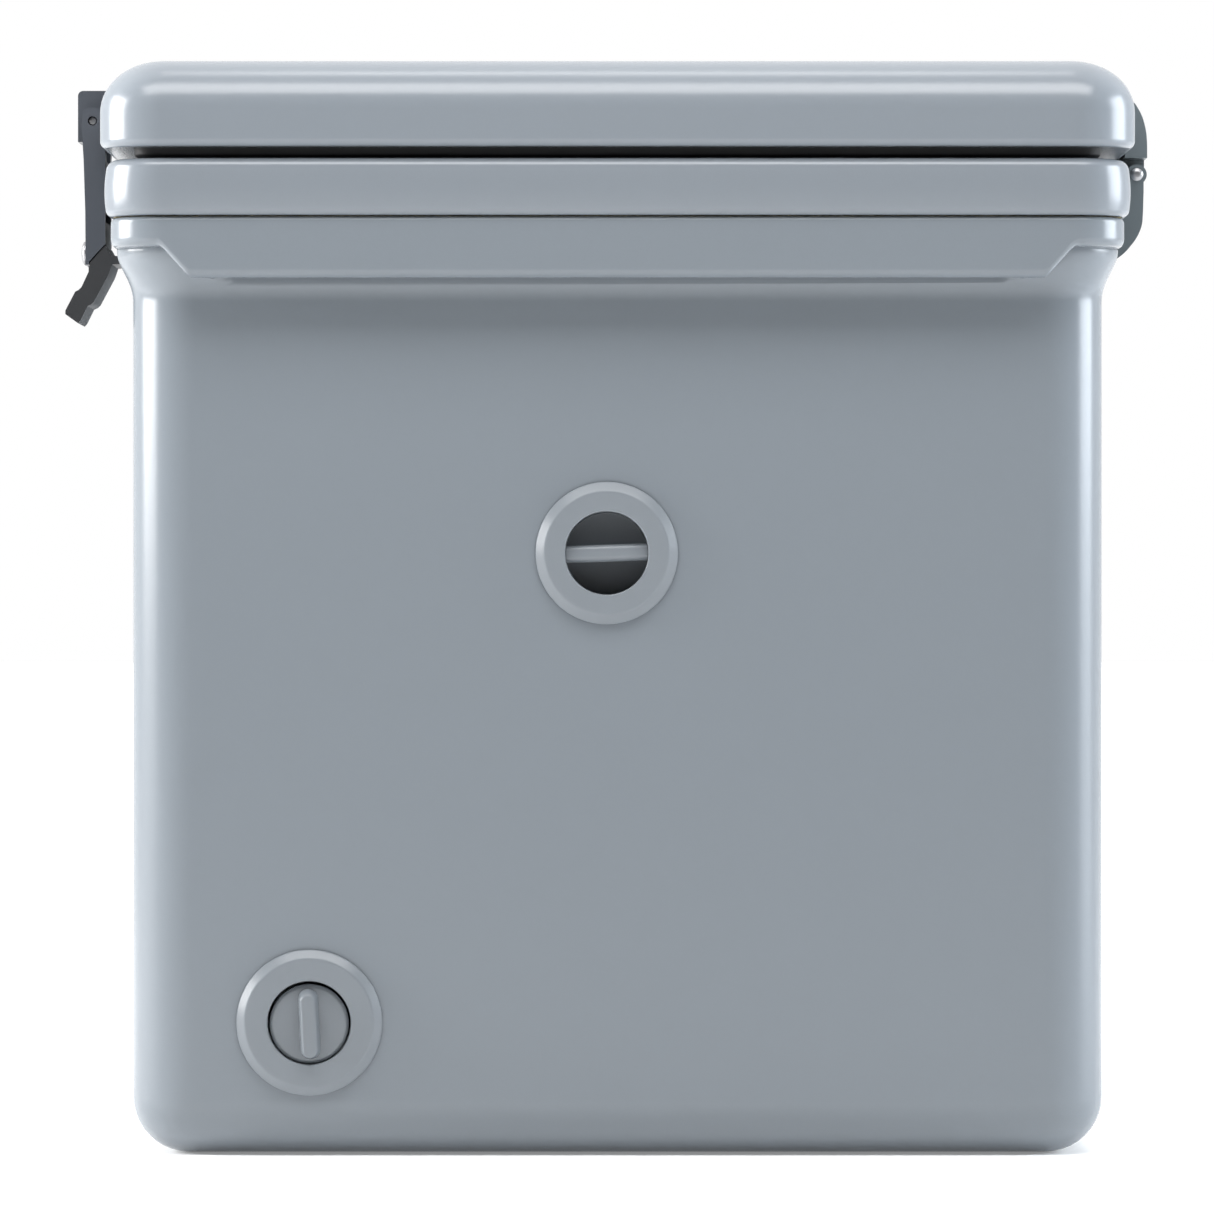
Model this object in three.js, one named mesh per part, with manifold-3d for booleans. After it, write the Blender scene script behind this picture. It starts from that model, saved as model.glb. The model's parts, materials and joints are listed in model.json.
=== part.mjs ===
// A chest cooler on two wheels: a double-walled moulded tub with a hinged, gasketed lid, two swing
// latches, a drain plug and a tow cup. Millimetres, +Z up, origin on the floor under the tub's middle.
// -Y is the drain end, +Y the wheel end, -X the latch side and +X the hinge side.
import * as THREE from "three";
import { mergeVertices } from "three/addons/utils/BufferGeometryUtils.js";
import Module from "manifold-3d";

const wasm = await Module();
wasm.setup();

// ---- Overall sizes ----
const LENGTH = 764; // lid, end to end
const WIDTH = 482.5; // lid, side to side
const HEIGHT = 510; // floor to lid top
const GAP = 0.3; // clearance between pieces that touch

// ---- Tub and lid sizes ----
const LID_HEIGHT = 41;
const LID_SEAM = 5.3; // open height between lid and rim, which the gasket fills
const RIM_HEIGHT = 26.6; // liner rim that wraps over the tub
const BAND_HEIGHT = 14.1; // upper band of the outer shell
const LIP_HEIGHT = 14.7; // lifting lip at each end
const RIM_INSET = 2; // rim, in from the lid
const BAND_INSET = 5;
const SIDE_INSET = 13.8; // long wall, in from the lid
const END_INSET = 26; // end wall, in from the lid
const SKIN = 4; // moulded wall
const WALL = 41; // outer wall face to cavity at the mouth
const FLOOR = 48; // floor to cavity bottom
const CAVITY_DRAFT = 8;
const CAVITY_ROUND = 8;
const CAVITY_CORNER = 24;
const LID_CORNER = 31;
const BODY_CORNER = 30;
const BASE_ROUND = 26;
const COVE = 26; // radius of the cove under the band
const COVE_OUT = 7.4; // how far it leans out
const FLANGE = 13; // inward flange at the top of the outer shell
const LID_ROUND_OUT = 28; // lid's top edge, sideways
const LID_ROUND_UP = 20; // lid's top edge, upwards
const LID_EDGE = 9; // width of the cover's bottom edge
const LID_EDGE_ROUND = 6;
const PAN = 8; // thickness of the lid liner outside the plug
const PLUG_DEPTH = 20; // plug below the lid's bottom
const PLUG_PLAY = 8; // plug to cavity wall
const GASKET_INSET = 16;
const GASKET_WIDTH = 10;
const GROOVE = 3;

// ---- Hardware sizes ----
const WHEEL_RADIUS = 70;
const WHEEL_WIDTH = 40;
const WHEEL_OUTER_INSET = 4.5; // wheel's outer face, in from the long wall
const WHEEL_OVERHANG = 28; // wheel past the end wall
const WELL_PLAY = 7; // well to tread
const AXLE_RADIUS = 6;
const SLEEVE_RADIUS = 9;
const TOW_X = -5;
const TOW_Z = 280.7;
const TOW_HOLE = 19.4; // radius of the tow cup's mouth
const TOW_BAR = 8; // height of the bar across it
const TOW_TILT = 1.9; // degrees
const DRAIN_X = -143.5;
const DRAIN_Z = 62.1;
const DRAIN_HOLE = 19.4; // radius of the drain socket
const DRAIN_TUBE = 11; // radius of the way through
const PLUG_TILT = -2.9; // degrees, finger fin at rest
const HINGE_WIDTH = 90;
const HINGE_OFFSET = 145; // hinge centre, in from the lid's end
const HINGE_PIN = 2.5; // radii
const KNUCKLE = 5.3;
const LATCH_WIDTH = 46;
const LATCH_OFFSET = 124; // latch centre, in from the lid's end
const LATCH_NOSE = 6.5; // radius of the arm's round upper end
const LATCH_PLATE = 1.2; // bracket's base plate
const LATCH_PIN = 2;
const HOOD_WIDTH = 25;
const PLATE_EAR = 16; // bracket's base plate past each side of the arm

// ---- Derived levels and half sizes ----
const LID_X = WIDTH / 2;
const LID_Y = LENGTH / 2;
const RIM_X = LID_X - RIM_INSET;
const RIM_Y = LID_Y - RIM_INSET;
const BAND_X = LID_X - BAND_INSET;
const BAND_Y = LID_Y - BAND_INSET;
const BODY_X = LID_X - SIDE_INSET;
const BODY_Y = LID_Y - END_INSET;
const MOUTH_X = BODY_X - WALL;
const MOUTH_Y = BODY_Y - WALL;
const LID_BOTTOM = HEIGHT - LID_HEIGHT;
const RIM_TOP = LID_BOTTOM - LID_SEAM;
const RIM_BOTTOM = RIM_TOP - RIM_HEIGHT;
const SHELL_TOP = RIM_BOTTOM - GAP;
const BAND_BOTTOM = RIM_BOTTOM - BAND_HEIGHT;
const LIP_BOTTOM = BAND_BOTTOM - LIP_HEIGHT;
const AXLE_Y = BODY_Y + WHEEL_OVERHANG - WHEEL_RADIUS;
const AXLE_Z = WHEEL_RADIUS;
const WHEEL_OUTER = BODY_X - WHEEL_OUTER_INSET;
const WHEEL_INNER = WHEEL_OUTER - WHEEL_WIDTH;
const WELL_RADIUS = WHEEL_RADIUS + WELL_PLAY;
const WELL_INNER = WHEEL_INNER - SKIN;
const RAMP_START = AXLE_Y - WHEEL_RADIUS / 3;
const RAMP_SLOPE = 0.4; // rise of the underside behind the wheels' contact line
const STEP_GAP = 12; // foam between the wells and the step in the cavity
const STEP_TOP = AXLE_Z + WELL_RADIUS + 2 * SKIN + STEP_GAP + 5;
const STEP_Y = AXLE_Y - WELL_RADIUS - 2 * SKIN - STEP_GAP;
const HINGE_X = LID_X + KNUCKLE + 2 * GAP; // pin axis
const HINGE_Z = RIM_TOP - 2.3;
const LATCH_X = -LID_X - LATCH_PLATE - LATCH_NOSE - 3 * GAP; // pivot
const LATCH_Z = HEIGHT - LID_ROUND_UP - 3;

// ---- Shape helpers ----

// Turns a closed geometry into a solid that can be joined and cut.
function solid(geometry) {
  const bare = new THREE.BufferGeometry();
  bare.setAttribute("position", geometry.getAttribute("position"));
  bare.setIndex(geometry.getIndex());
  const merged = mergeVertices(bare, 1e-4);
  const place = merged.getAttribute("position");
  const index = merged.getIndex().array;
  const faces = [];
  const [a, b, c] = [new THREE.Vector3(), new THREE.Vector3(), new THREE.Vector3()];
  let volume = 0;
  for (let i = 0; i < index.length; i += 3) {
    const [p, q, r] = [index[i], index[i + 1], index[i + 2]];
    if (p === q || q === r || r === p) continue;
    faces.push(p, q, r);
    a.fromBufferAttribute(place, p);
    b.fromBufferAttribute(place, q);
    c.fromBufferAttribute(place, r);
    volume += a.dot(b.cross(c));
  }
  if (volume < 0) faces.reverse();
  const vertProperties = new Float32Array(place.array);
  const triVerts = new Uint32Array(faces);
  return new wasm.Manifold(new wasm.Mesh({ numProp: 3, vertProperties, triVerts }));
}

function geometryOf(shape) {
  const mesh = shape.getMesh();
  const geometry = new THREE.BufferGeometry();
  geometry.setAttribute("position", new THREE.BufferAttribute(mesh.vertProperties, 3));
  geometry.setIndex(new THREE.BufferAttribute(mesh.triVerts, 1));
  const flat = geometry.toNonIndexed();
  flat.computeVertexNormals();
  return flat;
}

// A horizontal rounded rectangle as a ring of points.
function ring(halfX, halfY, radius, z, steps = 4) {
  const r = Math.max(radius, 1);
  const points = [];
  for (let quarter = 0; quarter < 4; quarter++) {
    const centreX = (quarter === 0 || quarter === 3 ? 1 : -1) * (halfX - r);
    const centreY = (quarter < 2 ? 1 : -1) * (halfY - r);
    for (let i = 0; i <= steps; i++) {
      const angle = ((quarter + i / steps) * Math.PI) / 2;
      points.push([centreX + r * Math.cos(angle), centreY + r * Math.sin(angle), z]);
    }
  }
  return points;
}

// A closed solid through a stack of rings.
function loft(rings) {
  const count = rings[0].length;
  const index = [];
  for (let level = 0; level + 1 < rings.length; level++) {
    for (let i = 0; i < count; i++) {
      const here = level * count + i;
      const next = level * count + ((i + 1) % count);
      index.push(here, next, here + count, next, next + count, here + count);
    }
  }
  const last = (rings.length - 1) * count;
  for (let i = 1; i + 1 < count; i++) {
    index.push(0, i + 1, i, last, last + i, last + i + 1);
  }
  const geometry = new THREE.BufferGeometry();
  geometry.setAttribute("position", new THREE.Float32BufferAttribute(rings.flat(2), 3));
  geometry.setIndex(index);
  return solid(geometry);
}

function block(low, high) {
  const size = high.map((value, i) => value - low[i]);
  const box = new THREE.BoxGeometry(...size);
  box.translate(...low.map((value, i) => value + size[i] / 2));
  return solid(box);
}

function slab(halfX, halfY, radius, low, high) {
  return loft([ring(halfX, halfY, radius, low), ring(halfX, halfY, radius, high)]);
}

// Axes of a prism or a turned piece: its outline's two directions, then its length.
const ALONG_X = [new THREE.Vector3(0, 1, 0), new THREE.Vector3(0, 0, 1), new THREE.Vector3(1, 0, 0)];
const ALONG_Y = [new THREE.Vector3(1, 0, 0), new THREE.Vector3(0, 0, 1), new THREE.Vector3(0, -1, 0)];

// An outline of [first, second] points pushed from low to high along X, or along Y.
function prism(outline, axes, low, high) {
  const shape = new THREE.Shape(outline.map(([u, v]) => new THREE.Vector2(u, v)));
  const depth = high - low;
  const geometry = new THREE.ExtrudeGeometry(shape, { depth, bevelEnabled: false });
  geometry.translate(0, 0, axes === ALONG_X ? low : -high);
  geometry.applyMatrix4(new THREE.Matrix4().makeBasis(...axes));
  return solid(geometry);
}

// A profile of [radius, place along the axis] points turned about a line through the centre.
function turned(profile, axes, centre, steps = 24) {
  const points = profile.map(([radius, along]) => new THREE.Vector2(radius, along));
  const geometry = new THREE.LatheGeometry(points, steps);
  if (axes === ALONG_X) geometry.rotateZ(-Math.PI / 2);
  geometry.translate(...centre);
  return solid(geometry);
}

// A closed profile, for a ring or tube.
function turnedRing(profile, axes, centre, steps = 24) {
  return turned([...profile, profile[0]], axes, centre, steps);
}

function rod(radius, low, high, axes, centre, steps = 24) {
  return turned([[0, low], [radius, low], [radius, high], [0, high]], axes, centre, steps);
}

function tube(inner, outer, low, high, axes, centre, steps = 24) {
  const profile = [[inner, low], [outer, low], [outer, high], [inner, high]];
  return turnedRing(profile, axes, centre, steps);
}

// Points of an arc, angles in degrees.
function arc(centreU, centreV, radius, from, to, steps) {
  return Array.from({ length: steps + 1 }, (_, i) => {
    const angle = THREE.MathUtils.degToRad(from + ((to - from) * i) / steps);
    return [centreU + radius * Math.cos(angle), centreV + radius * Math.sin(angle)];
  });
}

// ---- Looks ----
const LOOKS = {
  shell: [0xa3a9ae, 0.22, 0],
  lid: [0xaab0b5, 0.2, 0],
  liner: [0xa6acb1, 0.24, 0],
  foam: [0xd8cfa8, 0.95, 0],
  rubber: [0x1b1c1e, 0.7, 0],
  fitting: [0xa9afb4, 0.24, 0],
  plug: [0x9aa0a5, 0.28, 0],
  hinge: [0x626b70, 0.4, 0],
  latch: [0x50565c, 0.38, 0],
  catch: [0x2f3033, 0.55, 0],
  steel: [0xc4c6c8, 0.25, 1],
  tyre: [0x232426, 0.8, 0],
  hub: [0x5d6368, 0.4, 0],
  bush: [0xd9d6cc, 0.5, 0],
};

const cooler = new THREE.Group();
const bodies = {};

function addPart(body, name, shape, look) {
  if (!bodies[body]) {
    bodies[body] = new THREE.Group();
    cooler.add(bodies[body]);
  }
  const [color, roughness, metalness] = LOOKS[look];
  const material = new THREE.MeshStandardMaterial({ color, roughness, metalness });
  const mesh = new THREE.Mesh(geometryOf(shape), material);
  mesh.name = name;
  bodies[body].add(mesh);
}

// ---- Envelopes that the tub's layers share ----

// The tub below the band, inset by a wall; the outermost face leans out in a cove.
function bodyBlock(inset) {
  const round = BASE_ROUND - inset;
  const levels = arc(0, inset + round, round, 0, 90, 5).map(([sine, height]) => {
    return [round - sine, 2 * (inset + round) - height];
  });
  levels.reverse();
  if (inset === 0) {
    const lean = THREE.MathUtils.radToDeg(Math.acos(1 - COVE_OUT / COVE));
    const cove = arc(0, 0, COVE, 0, lean, 4);
    levels.push(...cove.map(([u, v]) => [u - COVE, BAND_BOTTOM - COVE + v]));
  }
  levels.push([levels.at(-1)[0], BAND_BOTTOM + inset + 2]);
  const face = (value) => value - inset;
  return loft(levels.map(([step, z]) => {
    return ring(face(BODY_X) - step, face(BODY_Y) - step, face(BODY_CORNER) - step, z);
  }));
}

function bandBlock(inset, top) {
  const round = inset === 0 ? 4 : 1;
  const half = [BAND_X - inset, BAND_Y - inset, LID_CORNER - BAND_INSET - inset];
  const levels = arc(0, 0, round, 270, 360, 3).map(([u, v]) => [round - u, round + v]);
  const rings = levels.map(([step, rise]) => {
    return ring(half[0] - step, half[1] - step, half[2] - step, BAND_BOTTOM + inset + rise);
  });
  return loft([...rings, ring(...half, top)]);
}

// What the rising underside behind the wheels takes away.
function rampWedge(inset) {
  const reach = 200;
  const lift = inset * Math.hypot(1, RAMP_SLOPE);
  const outline = [
    [RAMP_START - reach, -reach],
    [RAMP_START + reach, -reach],
    [RAMP_START + reach, reach * RAMP_SLOPE + lift],
    [RAMP_START - reach, -reach * RAMP_SLOPE + lift],
  ];
  return prism(outline, ALONG_X, -LID_X, LID_X);
}

function envelope(inset, top) {
  return bodyBlock(inset).add(bandBlock(inset, top)).subtract(rampWedge(inset));
}

function wheelWells(grow) {
  const wells = [-1, 1].map((side) => {
    const ends = [side * (WELL_INNER - grow), side * (LID_X + 5)].sort((a, b) => a - b);
    return rod(WELL_RADIUS + grow, ...ends, ALONG_X, [0, AXLE_Y, AXLE_Z], 28);
  });
  return wells[0].add(wells[1]);
}

// The cold space, or that space grown by the liner's skin.
function cavity(grow, top) {
  const round = CAVITY_ROUND + grow;
  const bottom = FLOOR - grow;
  const level = (step, z) => {
    const drawn = (CAVITY_DRAFT * (RIM_TOP - z)) / (RIM_TOP - FLOOR);
    const inwards = step + drawn - grow;
    return ring(MOUTH_X - inwards, MOUTH_Y - inwards, CAVITY_CORNER - inwards, z);
  };
  const rounded = arc(0, 0, round, 270, 360, 4).map(([u, v]) => level(round - u, bottom + round + v));
  const whole = loft([...rounded, level(0, top)]);
  const step = block([-LID_X, STEP_Y + grow, -1], [LID_X, LID_Y, STEP_TOP - grow]);
  return whole.subtract(step);
}

// Stations of the screws, one value for the hole and the screw alike.
const SCREW = { shank: 2, head: 4, headHeight: 2.4, play: 0.3 };

// A screw along X whose head's underside is at seat; out is +1 or -1, the way its head faces.
function screwShape(seat, tip, out, y, z) {
  const profile = [
    [0, tip - seat],
    [SCREW.shank, tip - seat],
    [SCREW.shank, 0],
    [SCREW.head, 0],
    [SCREW.head * 0.8, SCREW.headHeight * 0.75],
    [0, SCREW.headHeight],
  ];
  const facing = profile.map(([r, along]) => [r, along * out]);
  facing[0][1] = facing[1][1] = tip - seat;
  return turned(facing, ALONG_X, [seat, y, z], 8);
}

function screwHole(low, high, y, z) {
  return rod(SCREW.shank + SCREW.play + 0.2, low, high, ALONG_X, [0, y, z], 8);
}

const endSigns = [[-1, "1"], [1, "2"]];
const hingeY = (end) => end * (LID_Y - HINGE_OFFSET);
const latchY = (end) => end * (LID_Y - LATCH_OFFSET);
const HINGE_SCREW_SPREAD = HINGE_WIDTH / 3;
const UPPER_SCREW_Z = HEIGHT - LID_ROUND_UP - 3.3;
const LOWER_SCREW_Z = SHELL_TOP - 7;
const PLATE_SCREW_SPREAD = (LATCH_WIDTH + PLATE_EAR) / 2;

// ---- Drain fitting and tow cup: both sit in the drain end's wall ----
const DRAIN_FLANGE = DRAIN_HOLE + 14.6; // radius of the flange where it meets the wall
const DRAIN_FACE = DRAIN_HOLE + 10.6; // radius of its flat face
const FLANGE_PROUD = 4.5;
const SOCKET_WALL = 3;
const SOCKET_DEPTH = 24;
const TOW_FLANGE = TOW_HOLE + 13.8;
const TOW_FACE = TOW_HOLE + 9.5;
const TOW_DEPTH = 30;
const wallY = -BODY_Y - GAP;
const drainCentre = [DRAIN_X, wallY, DRAIN_Z];
const towCentre = [TOW_X, wallY, TOW_Z];

function drainWay(grow) {
  const play = SOCKET_WALL + grow;
  const socket = rod(DRAIN_HOLE + play, -10, SOCKET_DEPTH + play, ALONG_Y, drainCentre);
  const way = rod(DRAIN_TUBE + play, -10, WALL + 40, ALONG_Y, drainCentre);
  return socket.add(way);
}

function drainBush() {
  const profile = [
    [DRAIN_HOLE, -FLANGE_PROUD],
    [DRAIN_FACE, -FLANGE_PROUD],
    [DRAIN_FLANGE, -0.6],
    [DRAIN_FLANGE, 0],
    [DRAIN_HOLE + SOCKET_WALL, 0],
    [DRAIN_HOLE + SOCKET_WALL, SOCKET_DEPTH + SOCKET_WALL],
    [DRAIN_TUBE + SOCKET_WALL, SOCKET_DEPTH + SOCKET_WALL],
    [DRAIN_TUBE + SOCKET_WALL, WALL + 30],
    [DRAIN_TUBE, WALL + 30],
    [DRAIN_TUBE, SOCKET_DEPTH],
    [DRAIN_HOLE, SOCKET_DEPTH],
  ];
  return turnedRing(profile, ALONG_Y, drainCentre, 24).subtract(cavity(0, RIM_TOP));
}

// The bar across the tow cup's mouth, let into the cup's wall at both ends.
function towBar(grow) {
  const half = TOW_HOLE + 2 + grow;
  const bar = new THREE.BoxGeometry(2 * half, 7 + 2 * grow, TOW_BAR + 2 * grow);
  bar.rotateY(THREE.MathUtils.degToRad(-TOW_TILT));
  bar.translate(TOW_X, wallY + 3.5, TOW_Z);
  return solid(bar);
}

function towCup() {
  const profile = [
    [0, TOW_DEPTH],
    [TOW_HOLE, TOW_DEPTH],
    [TOW_HOLE, -FLANGE_PROUD],
    [TOW_FACE, -FLANGE_PROUD],
    [TOW_FLANGE, -0.6],
    [TOW_FLANGE, 0],
    [TOW_HOLE + SOCKET_WALL, 0],
    [TOW_HOLE + SOCKET_WALL, TOW_DEPTH + SOCKET_WALL],
    [0, TOW_DEPTH + SOCKET_WALL],
  ];
  return turned(profile, ALONG_Y, towCentre, 24).subtract(towBar(GAP));
}

function towWay(grow) {
  const radius = TOW_HOLE + SOCKET_WALL + grow;
  return rod(radius, -10, TOW_DEPTH + SOCKET_WALL + grow, ALONG_Y, towCentre);
}

// ---- Tub ----
const LIP_SLOPE = 13; // how far the lip's ends lean
const LIP_SIDE = 28.5; // lip's lower corners, in from the body's corner

function liftLip(end) {
  const low = BODY_X - LIP_SIDE;
  const high = low + LIP_SLOPE;
  const top = BAND_BOTTOM + 1;
  const outline = [[-low, LIP_BOTTOM], [low, LIP_BOTTOM], [high, top], [-high, top]];
  const faces = [end * BAND_Y, end * (BODY_Y - 2)].sort((a, b) => a - b);
  return prism(outline, ALONG_Y, ...faces);
}

function fingerPocket(end) {
  const half = BODY_X - LIP_SIDE - 14;
  const faces = [end * (BODY_Y + 1.5), end * (BAND_Y - 6)].sort((a, b) => a - b);
  return block([-half, faces[0], LIP_BOTTOM - 2], [half, faces[1], BAND_BOTTOM - 2]);
}

function latchRecess(end) {
  const half = LATCH_WIDTH / 2 + 3;
  const y = latchY(end);
  return block([-LID_X, y - half, BAND_BOTTOM - COVE - 2], [-BODY_X - 0.5, y + half, BAND_BOTTOM]);
}

function outerShell() {
  let shell = envelope(0, SHELL_TOP);
  for (const [end] of endSigns) shell = shell.add(liftLip(end)).subtract(latchRecess(end));
  const hollow = envelope(SKIN, SHELL_TOP - SKIN).subtract(wheelWells(SKIN));
  const opening = slab(BAND_X - FLANGE, BAND_Y - FLANGE, LID_CORNER - FLANGE, SHELL_TOP - SKIN - 2, RIM_TOP);
  shell = shell.subtract(hollow).subtract(opening).subtract(wheelWells(0));
  shell = shell.subtract(drainWay(GAP)).subtract(towWay(GAP));
  shell = shell.subtract(rod(SLEEVE_RADIUS + GAP, -LID_X, LID_X, ALONG_X, [0, AXLE_Y, AXLE_Z], 20));
  for (const [end] of endSigns) {
    shell = shell.subtract(fingerPocket(end));
    for (const side of [-1, 1]) {
      const y = hingeY(end) + side * HINGE_SCREW_SPREAD;
      shell = shell.subtract(screwHole(BAND_X - SKIN - 1, BAND_X + 1, y, LOWER_SCREW_Z));
    }
  }
  return shell;
}

function rimBlock() {
  const bottomRound = arc(0, 0, 3, 270, 360, 2).map(([u, v]) => [3 - u, RIM_BOTTOM + 3 + v]);
  const topRound = arc(0, 0, 5, 0, 90, 4).map(([u, v]) => [6 - u, RIM_TOP - 5 + v]);
  return loft([...bottomRound, ...topRound].map(([step, z]) => {
    return ring(RIM_X - step, RIM_Y - step, LID_CORNER - RIM_INSET - step, z);
  }));
}

function rimHollow(grow) {
  const inset = SKIN + grow;
  const corner = LID_CORNER - RIM_INSET - inset;
  return slab(RIM_X - inset, RIM_Y - inset, corner, RIM_BOTTOM - 1 + grow, RIM_TOP - inset);
}

function innerLiner() {
  return rimBlock()
    .subtract(rimHollow(0))
    .add(cavity(SKIN, RIM_TOP))
    .subtract(cavity(0, RIM_TOP + 1))
    .subtract(drainWay(GAP));
}

function bodyFoam() {
  const play = SKIN + GAP;
  const inset = FLANGE + GAP;
  const low = SHELL_TOP - play - 2;
  const neck = slab(BAND_X - inset, BAND_Y - inset, LID_CORNER - inset, low, RIM_BOTTOM + 2);
  const crown = rimHollow(GAP).subtract(block([-LID_X, -LID_Y, 0], [LID_X, LID_Y, RIM_BOTTOM + GAP]));
  return envelope(play, SHELL_TOP - play)
    .add(neck)
    .add(crown)
    .subtract(cavity(play, RIM_TOP))
    .subtract(wheelWells(play))
    .subtract(drainWay(GAP))
    .subtract(towWay(GAP))
    .subtract(rod(SLEEVE_RADIUS + GAP, -LID_X, LID_X, ALONG_X, [0, AXLE_Y, AXLE_Z], 20));
}

addPart("body", "outer_shell", outerShell(), "shell");
addPart("body", "inner_liner", innerLiner(), "liner");
addPart("body", "body_foam", bodyFoam(), "foam");
addPart("body", "drain_bush", drainBush(), "fitting");
addPart("body", "tow_cup", towCup(), "fitting");
addPart("body", "tow_bar", towBar(0), "fitting");

// ---- Drain plug and its seal ----
const PLUG_RADIUS = DRAIN_HOLE - 0.9;
const PLUG_LENGTH = 15;
const SEAL = 3;
const FIN = { long: 2 * PLUG_RADIUS - 4, crest: 6.3, base: 9.5, high: 8 };

function drainPlug() {
  const disc = turned(
    [[0, 0], [PLUG_RADIUS - 1.2, 0], [PLUG_RADIUS, 1.2], [PLUG_RADIUS, PLUG_LENGTH], [0, PLUG_LENGTH]],
    ALONG_Y, [0, 0, 0], 24);
  const half = [FIN.base / 2, FIN.crest / 2];
  const outline = [[-half[0], 1], [-half[1], -FIN.high], [half[1], -FIN.high], [half[0], 1]];
  const shape = new THREE.Shape(outline.map(([u, v]) => new THREE.Vector2(u, v)));
  const fin = new THREE.ExtrudeGeometry(shape, { depth: FIN.long, bevelEnabled: false });
  fin.translate(0, 0, -FIN.long / 2);
  const whole = geometryOf(disc.add(solid(fin)));
  whole.rotateY(THREE.MathUtils.degToRad(PLUG_TILT));
  whole.translate(DRAIN_X, wallY - FLANGE_PROUD + 3, DRAIN_Z);
  return solid(whole);
}

const plugInner = wallY - FLANGE_PROUD + 3 + PLUG_LENGTH;
addPart("drain_plug", "drain_plug", drainPlug(), "plug");
const sealEnds = [plugInner + GAP, plugInner + GAP + SEAL];
const drainSeal = tube(DRAIN_TUBE + 1, PLUG_RADIUS - 0.5, ...sealEnds, ALONG_Y, [DRAIN_X, 0, DRAIN_Z], 20);
addPart("drain_seal", "drain_seal", drainSeal, "rubber");

// ---- Axle and wheels ----
const axleAt = [0, AXLE_Y, AXLE_Z];
const BORE = AXLE_RADIUS + 0.3;
const SPACER = 1.6;
const HUB_SIDE = 2; // hub, in from the tyre's faces
const BUSH_RADIUS = 8;
const NUT_LENGTH = 3.4;
const CAP_RADIUS = BUSH_RADIUS + 13; // recess in the hub's face that holds the cap
const CAP_DEPTH = 8;
const HUB_RADIUS = WHEEL_RADIUS - 14;
const WHEEL_STEPS = 32; // sides of the tyre and hub, equal so that the gap between them stays even
const sleeveEnd = WELL_INNER + GAP;
const bushInner = sleeveEnd + SPACER + 2 * GAP;
const bushOuter = WHEEL_OUTER - HUB_SIDE - CAP_DEPTH; // the boss's outer end
const nutLow = bushOuter + GAP;
const axleEnd = nutLow + NUT_LENGTH + 0.6;

function tyreShape(low) {
  const edge = 7;
  const half = WHEEL_WIDTH;
  const inner = HUB_RADIUS + GAP;
  const shoulder = arc(WHEEL_RADIUS - edge, edge, edge, -90, 0, 2);
  const far = arc(WHEEL_RADIUS - edge, half - edge, edge, 0, 90, 2);
  const profile = [[inner, 0], ...shoulder, ...far, [inner, half]];
  return turnedRing(profile, ALONG_X, [low, AXLE_Y, AXLE_Z], WHEEL_STEPS);
}

function hubShape(low) {
  const [near, far] = [HUB_SIDE, WHEEL_WIDTH - HUB_SIDE];
  const middle = WHEEL_WIDTH / 2;
  const boss = BUSH_RADIUS + GAP;
  const profile = [
    [boss, near], [boss + 8.7, near], [boss + 8.7, middle - 4],
    [HUB_RADIUS - 6, middle - 4], [HUB_RADIUS - 6, near],
    [HUB_RADIUS, near], [HUB_RADIUS, far], [HUB_RADIUS - 6, far], [HUB_RADIUS - 6, middle + 4],
    [CAP_RADIUS + 3, middle + 4], [CAP_RADIUS + 3, far - 5], [CAP_RADIUS, far - 5],
    [CAP_RADIUS, far - CAP_DEPTH], [boss, far - CAP_DEPTH],
  ];
  let hub = turnedRing(profile, ALONG_X, [low, AXLE_Y, AXLE_Z], WHEEL_STEPS);
  const window = (HUB_RADIUS - 9 - CAP_RADIUS) / 2 - 1.5;
  for (let i = 0; i < 6; i++) {
    const angle = (i * Math.PI) / 3;
    const reach = (HUB_RADIUS - 6 + CAP_RADIUS + 3) / 2;
    const centre = [low + middle, AXLE_Y + reach * Math.cos(angle), AXLE_Z + reach * Math.sin(angle)];
    hub = hub.subtract(rod(window, -6, 6, ALONG_X, centre, 8));
  }
  return hub;
}

// Turned pieces of the right wheel; the left wheel is their mirror image.
function wheelPieces() {
  const capSeat = bushOuter + GAP;
  const face = WHEEL_OUTER + 1;
  const rim = CAP_RADIUS - GAP;
  const cap = [
    [0, face], [rim - 6.7, face - 0.4], [rim - 1.7, face - 2], [rim, face - 4], [rim, capSeat],
    [rim - 3.7, capSeat], [rim - 3.7, face - 4.5], [rim - 7.7, face - 2.2], [0, face - 1.8],
  ];
  return {
    tyre: [tyreShape(WHEEL_INNER), "tyre"],
    hub: [hubShape(WHEEL_INNER), "hub"],
    bush: [tube(BORE, BUSH_RADIUS, bushInner, bushOuter, ALONG_X, axleAt, 20), "bush"],
    hub_cap: [turned(cap, ALONG_X, axleAt, 16), "hub"],
  };
}

function mirrored(shape) {
  const geometry = geometryOf(shape);
  geometry.scale(-1, 1, 1);
  return solid(geometry);
}

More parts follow.
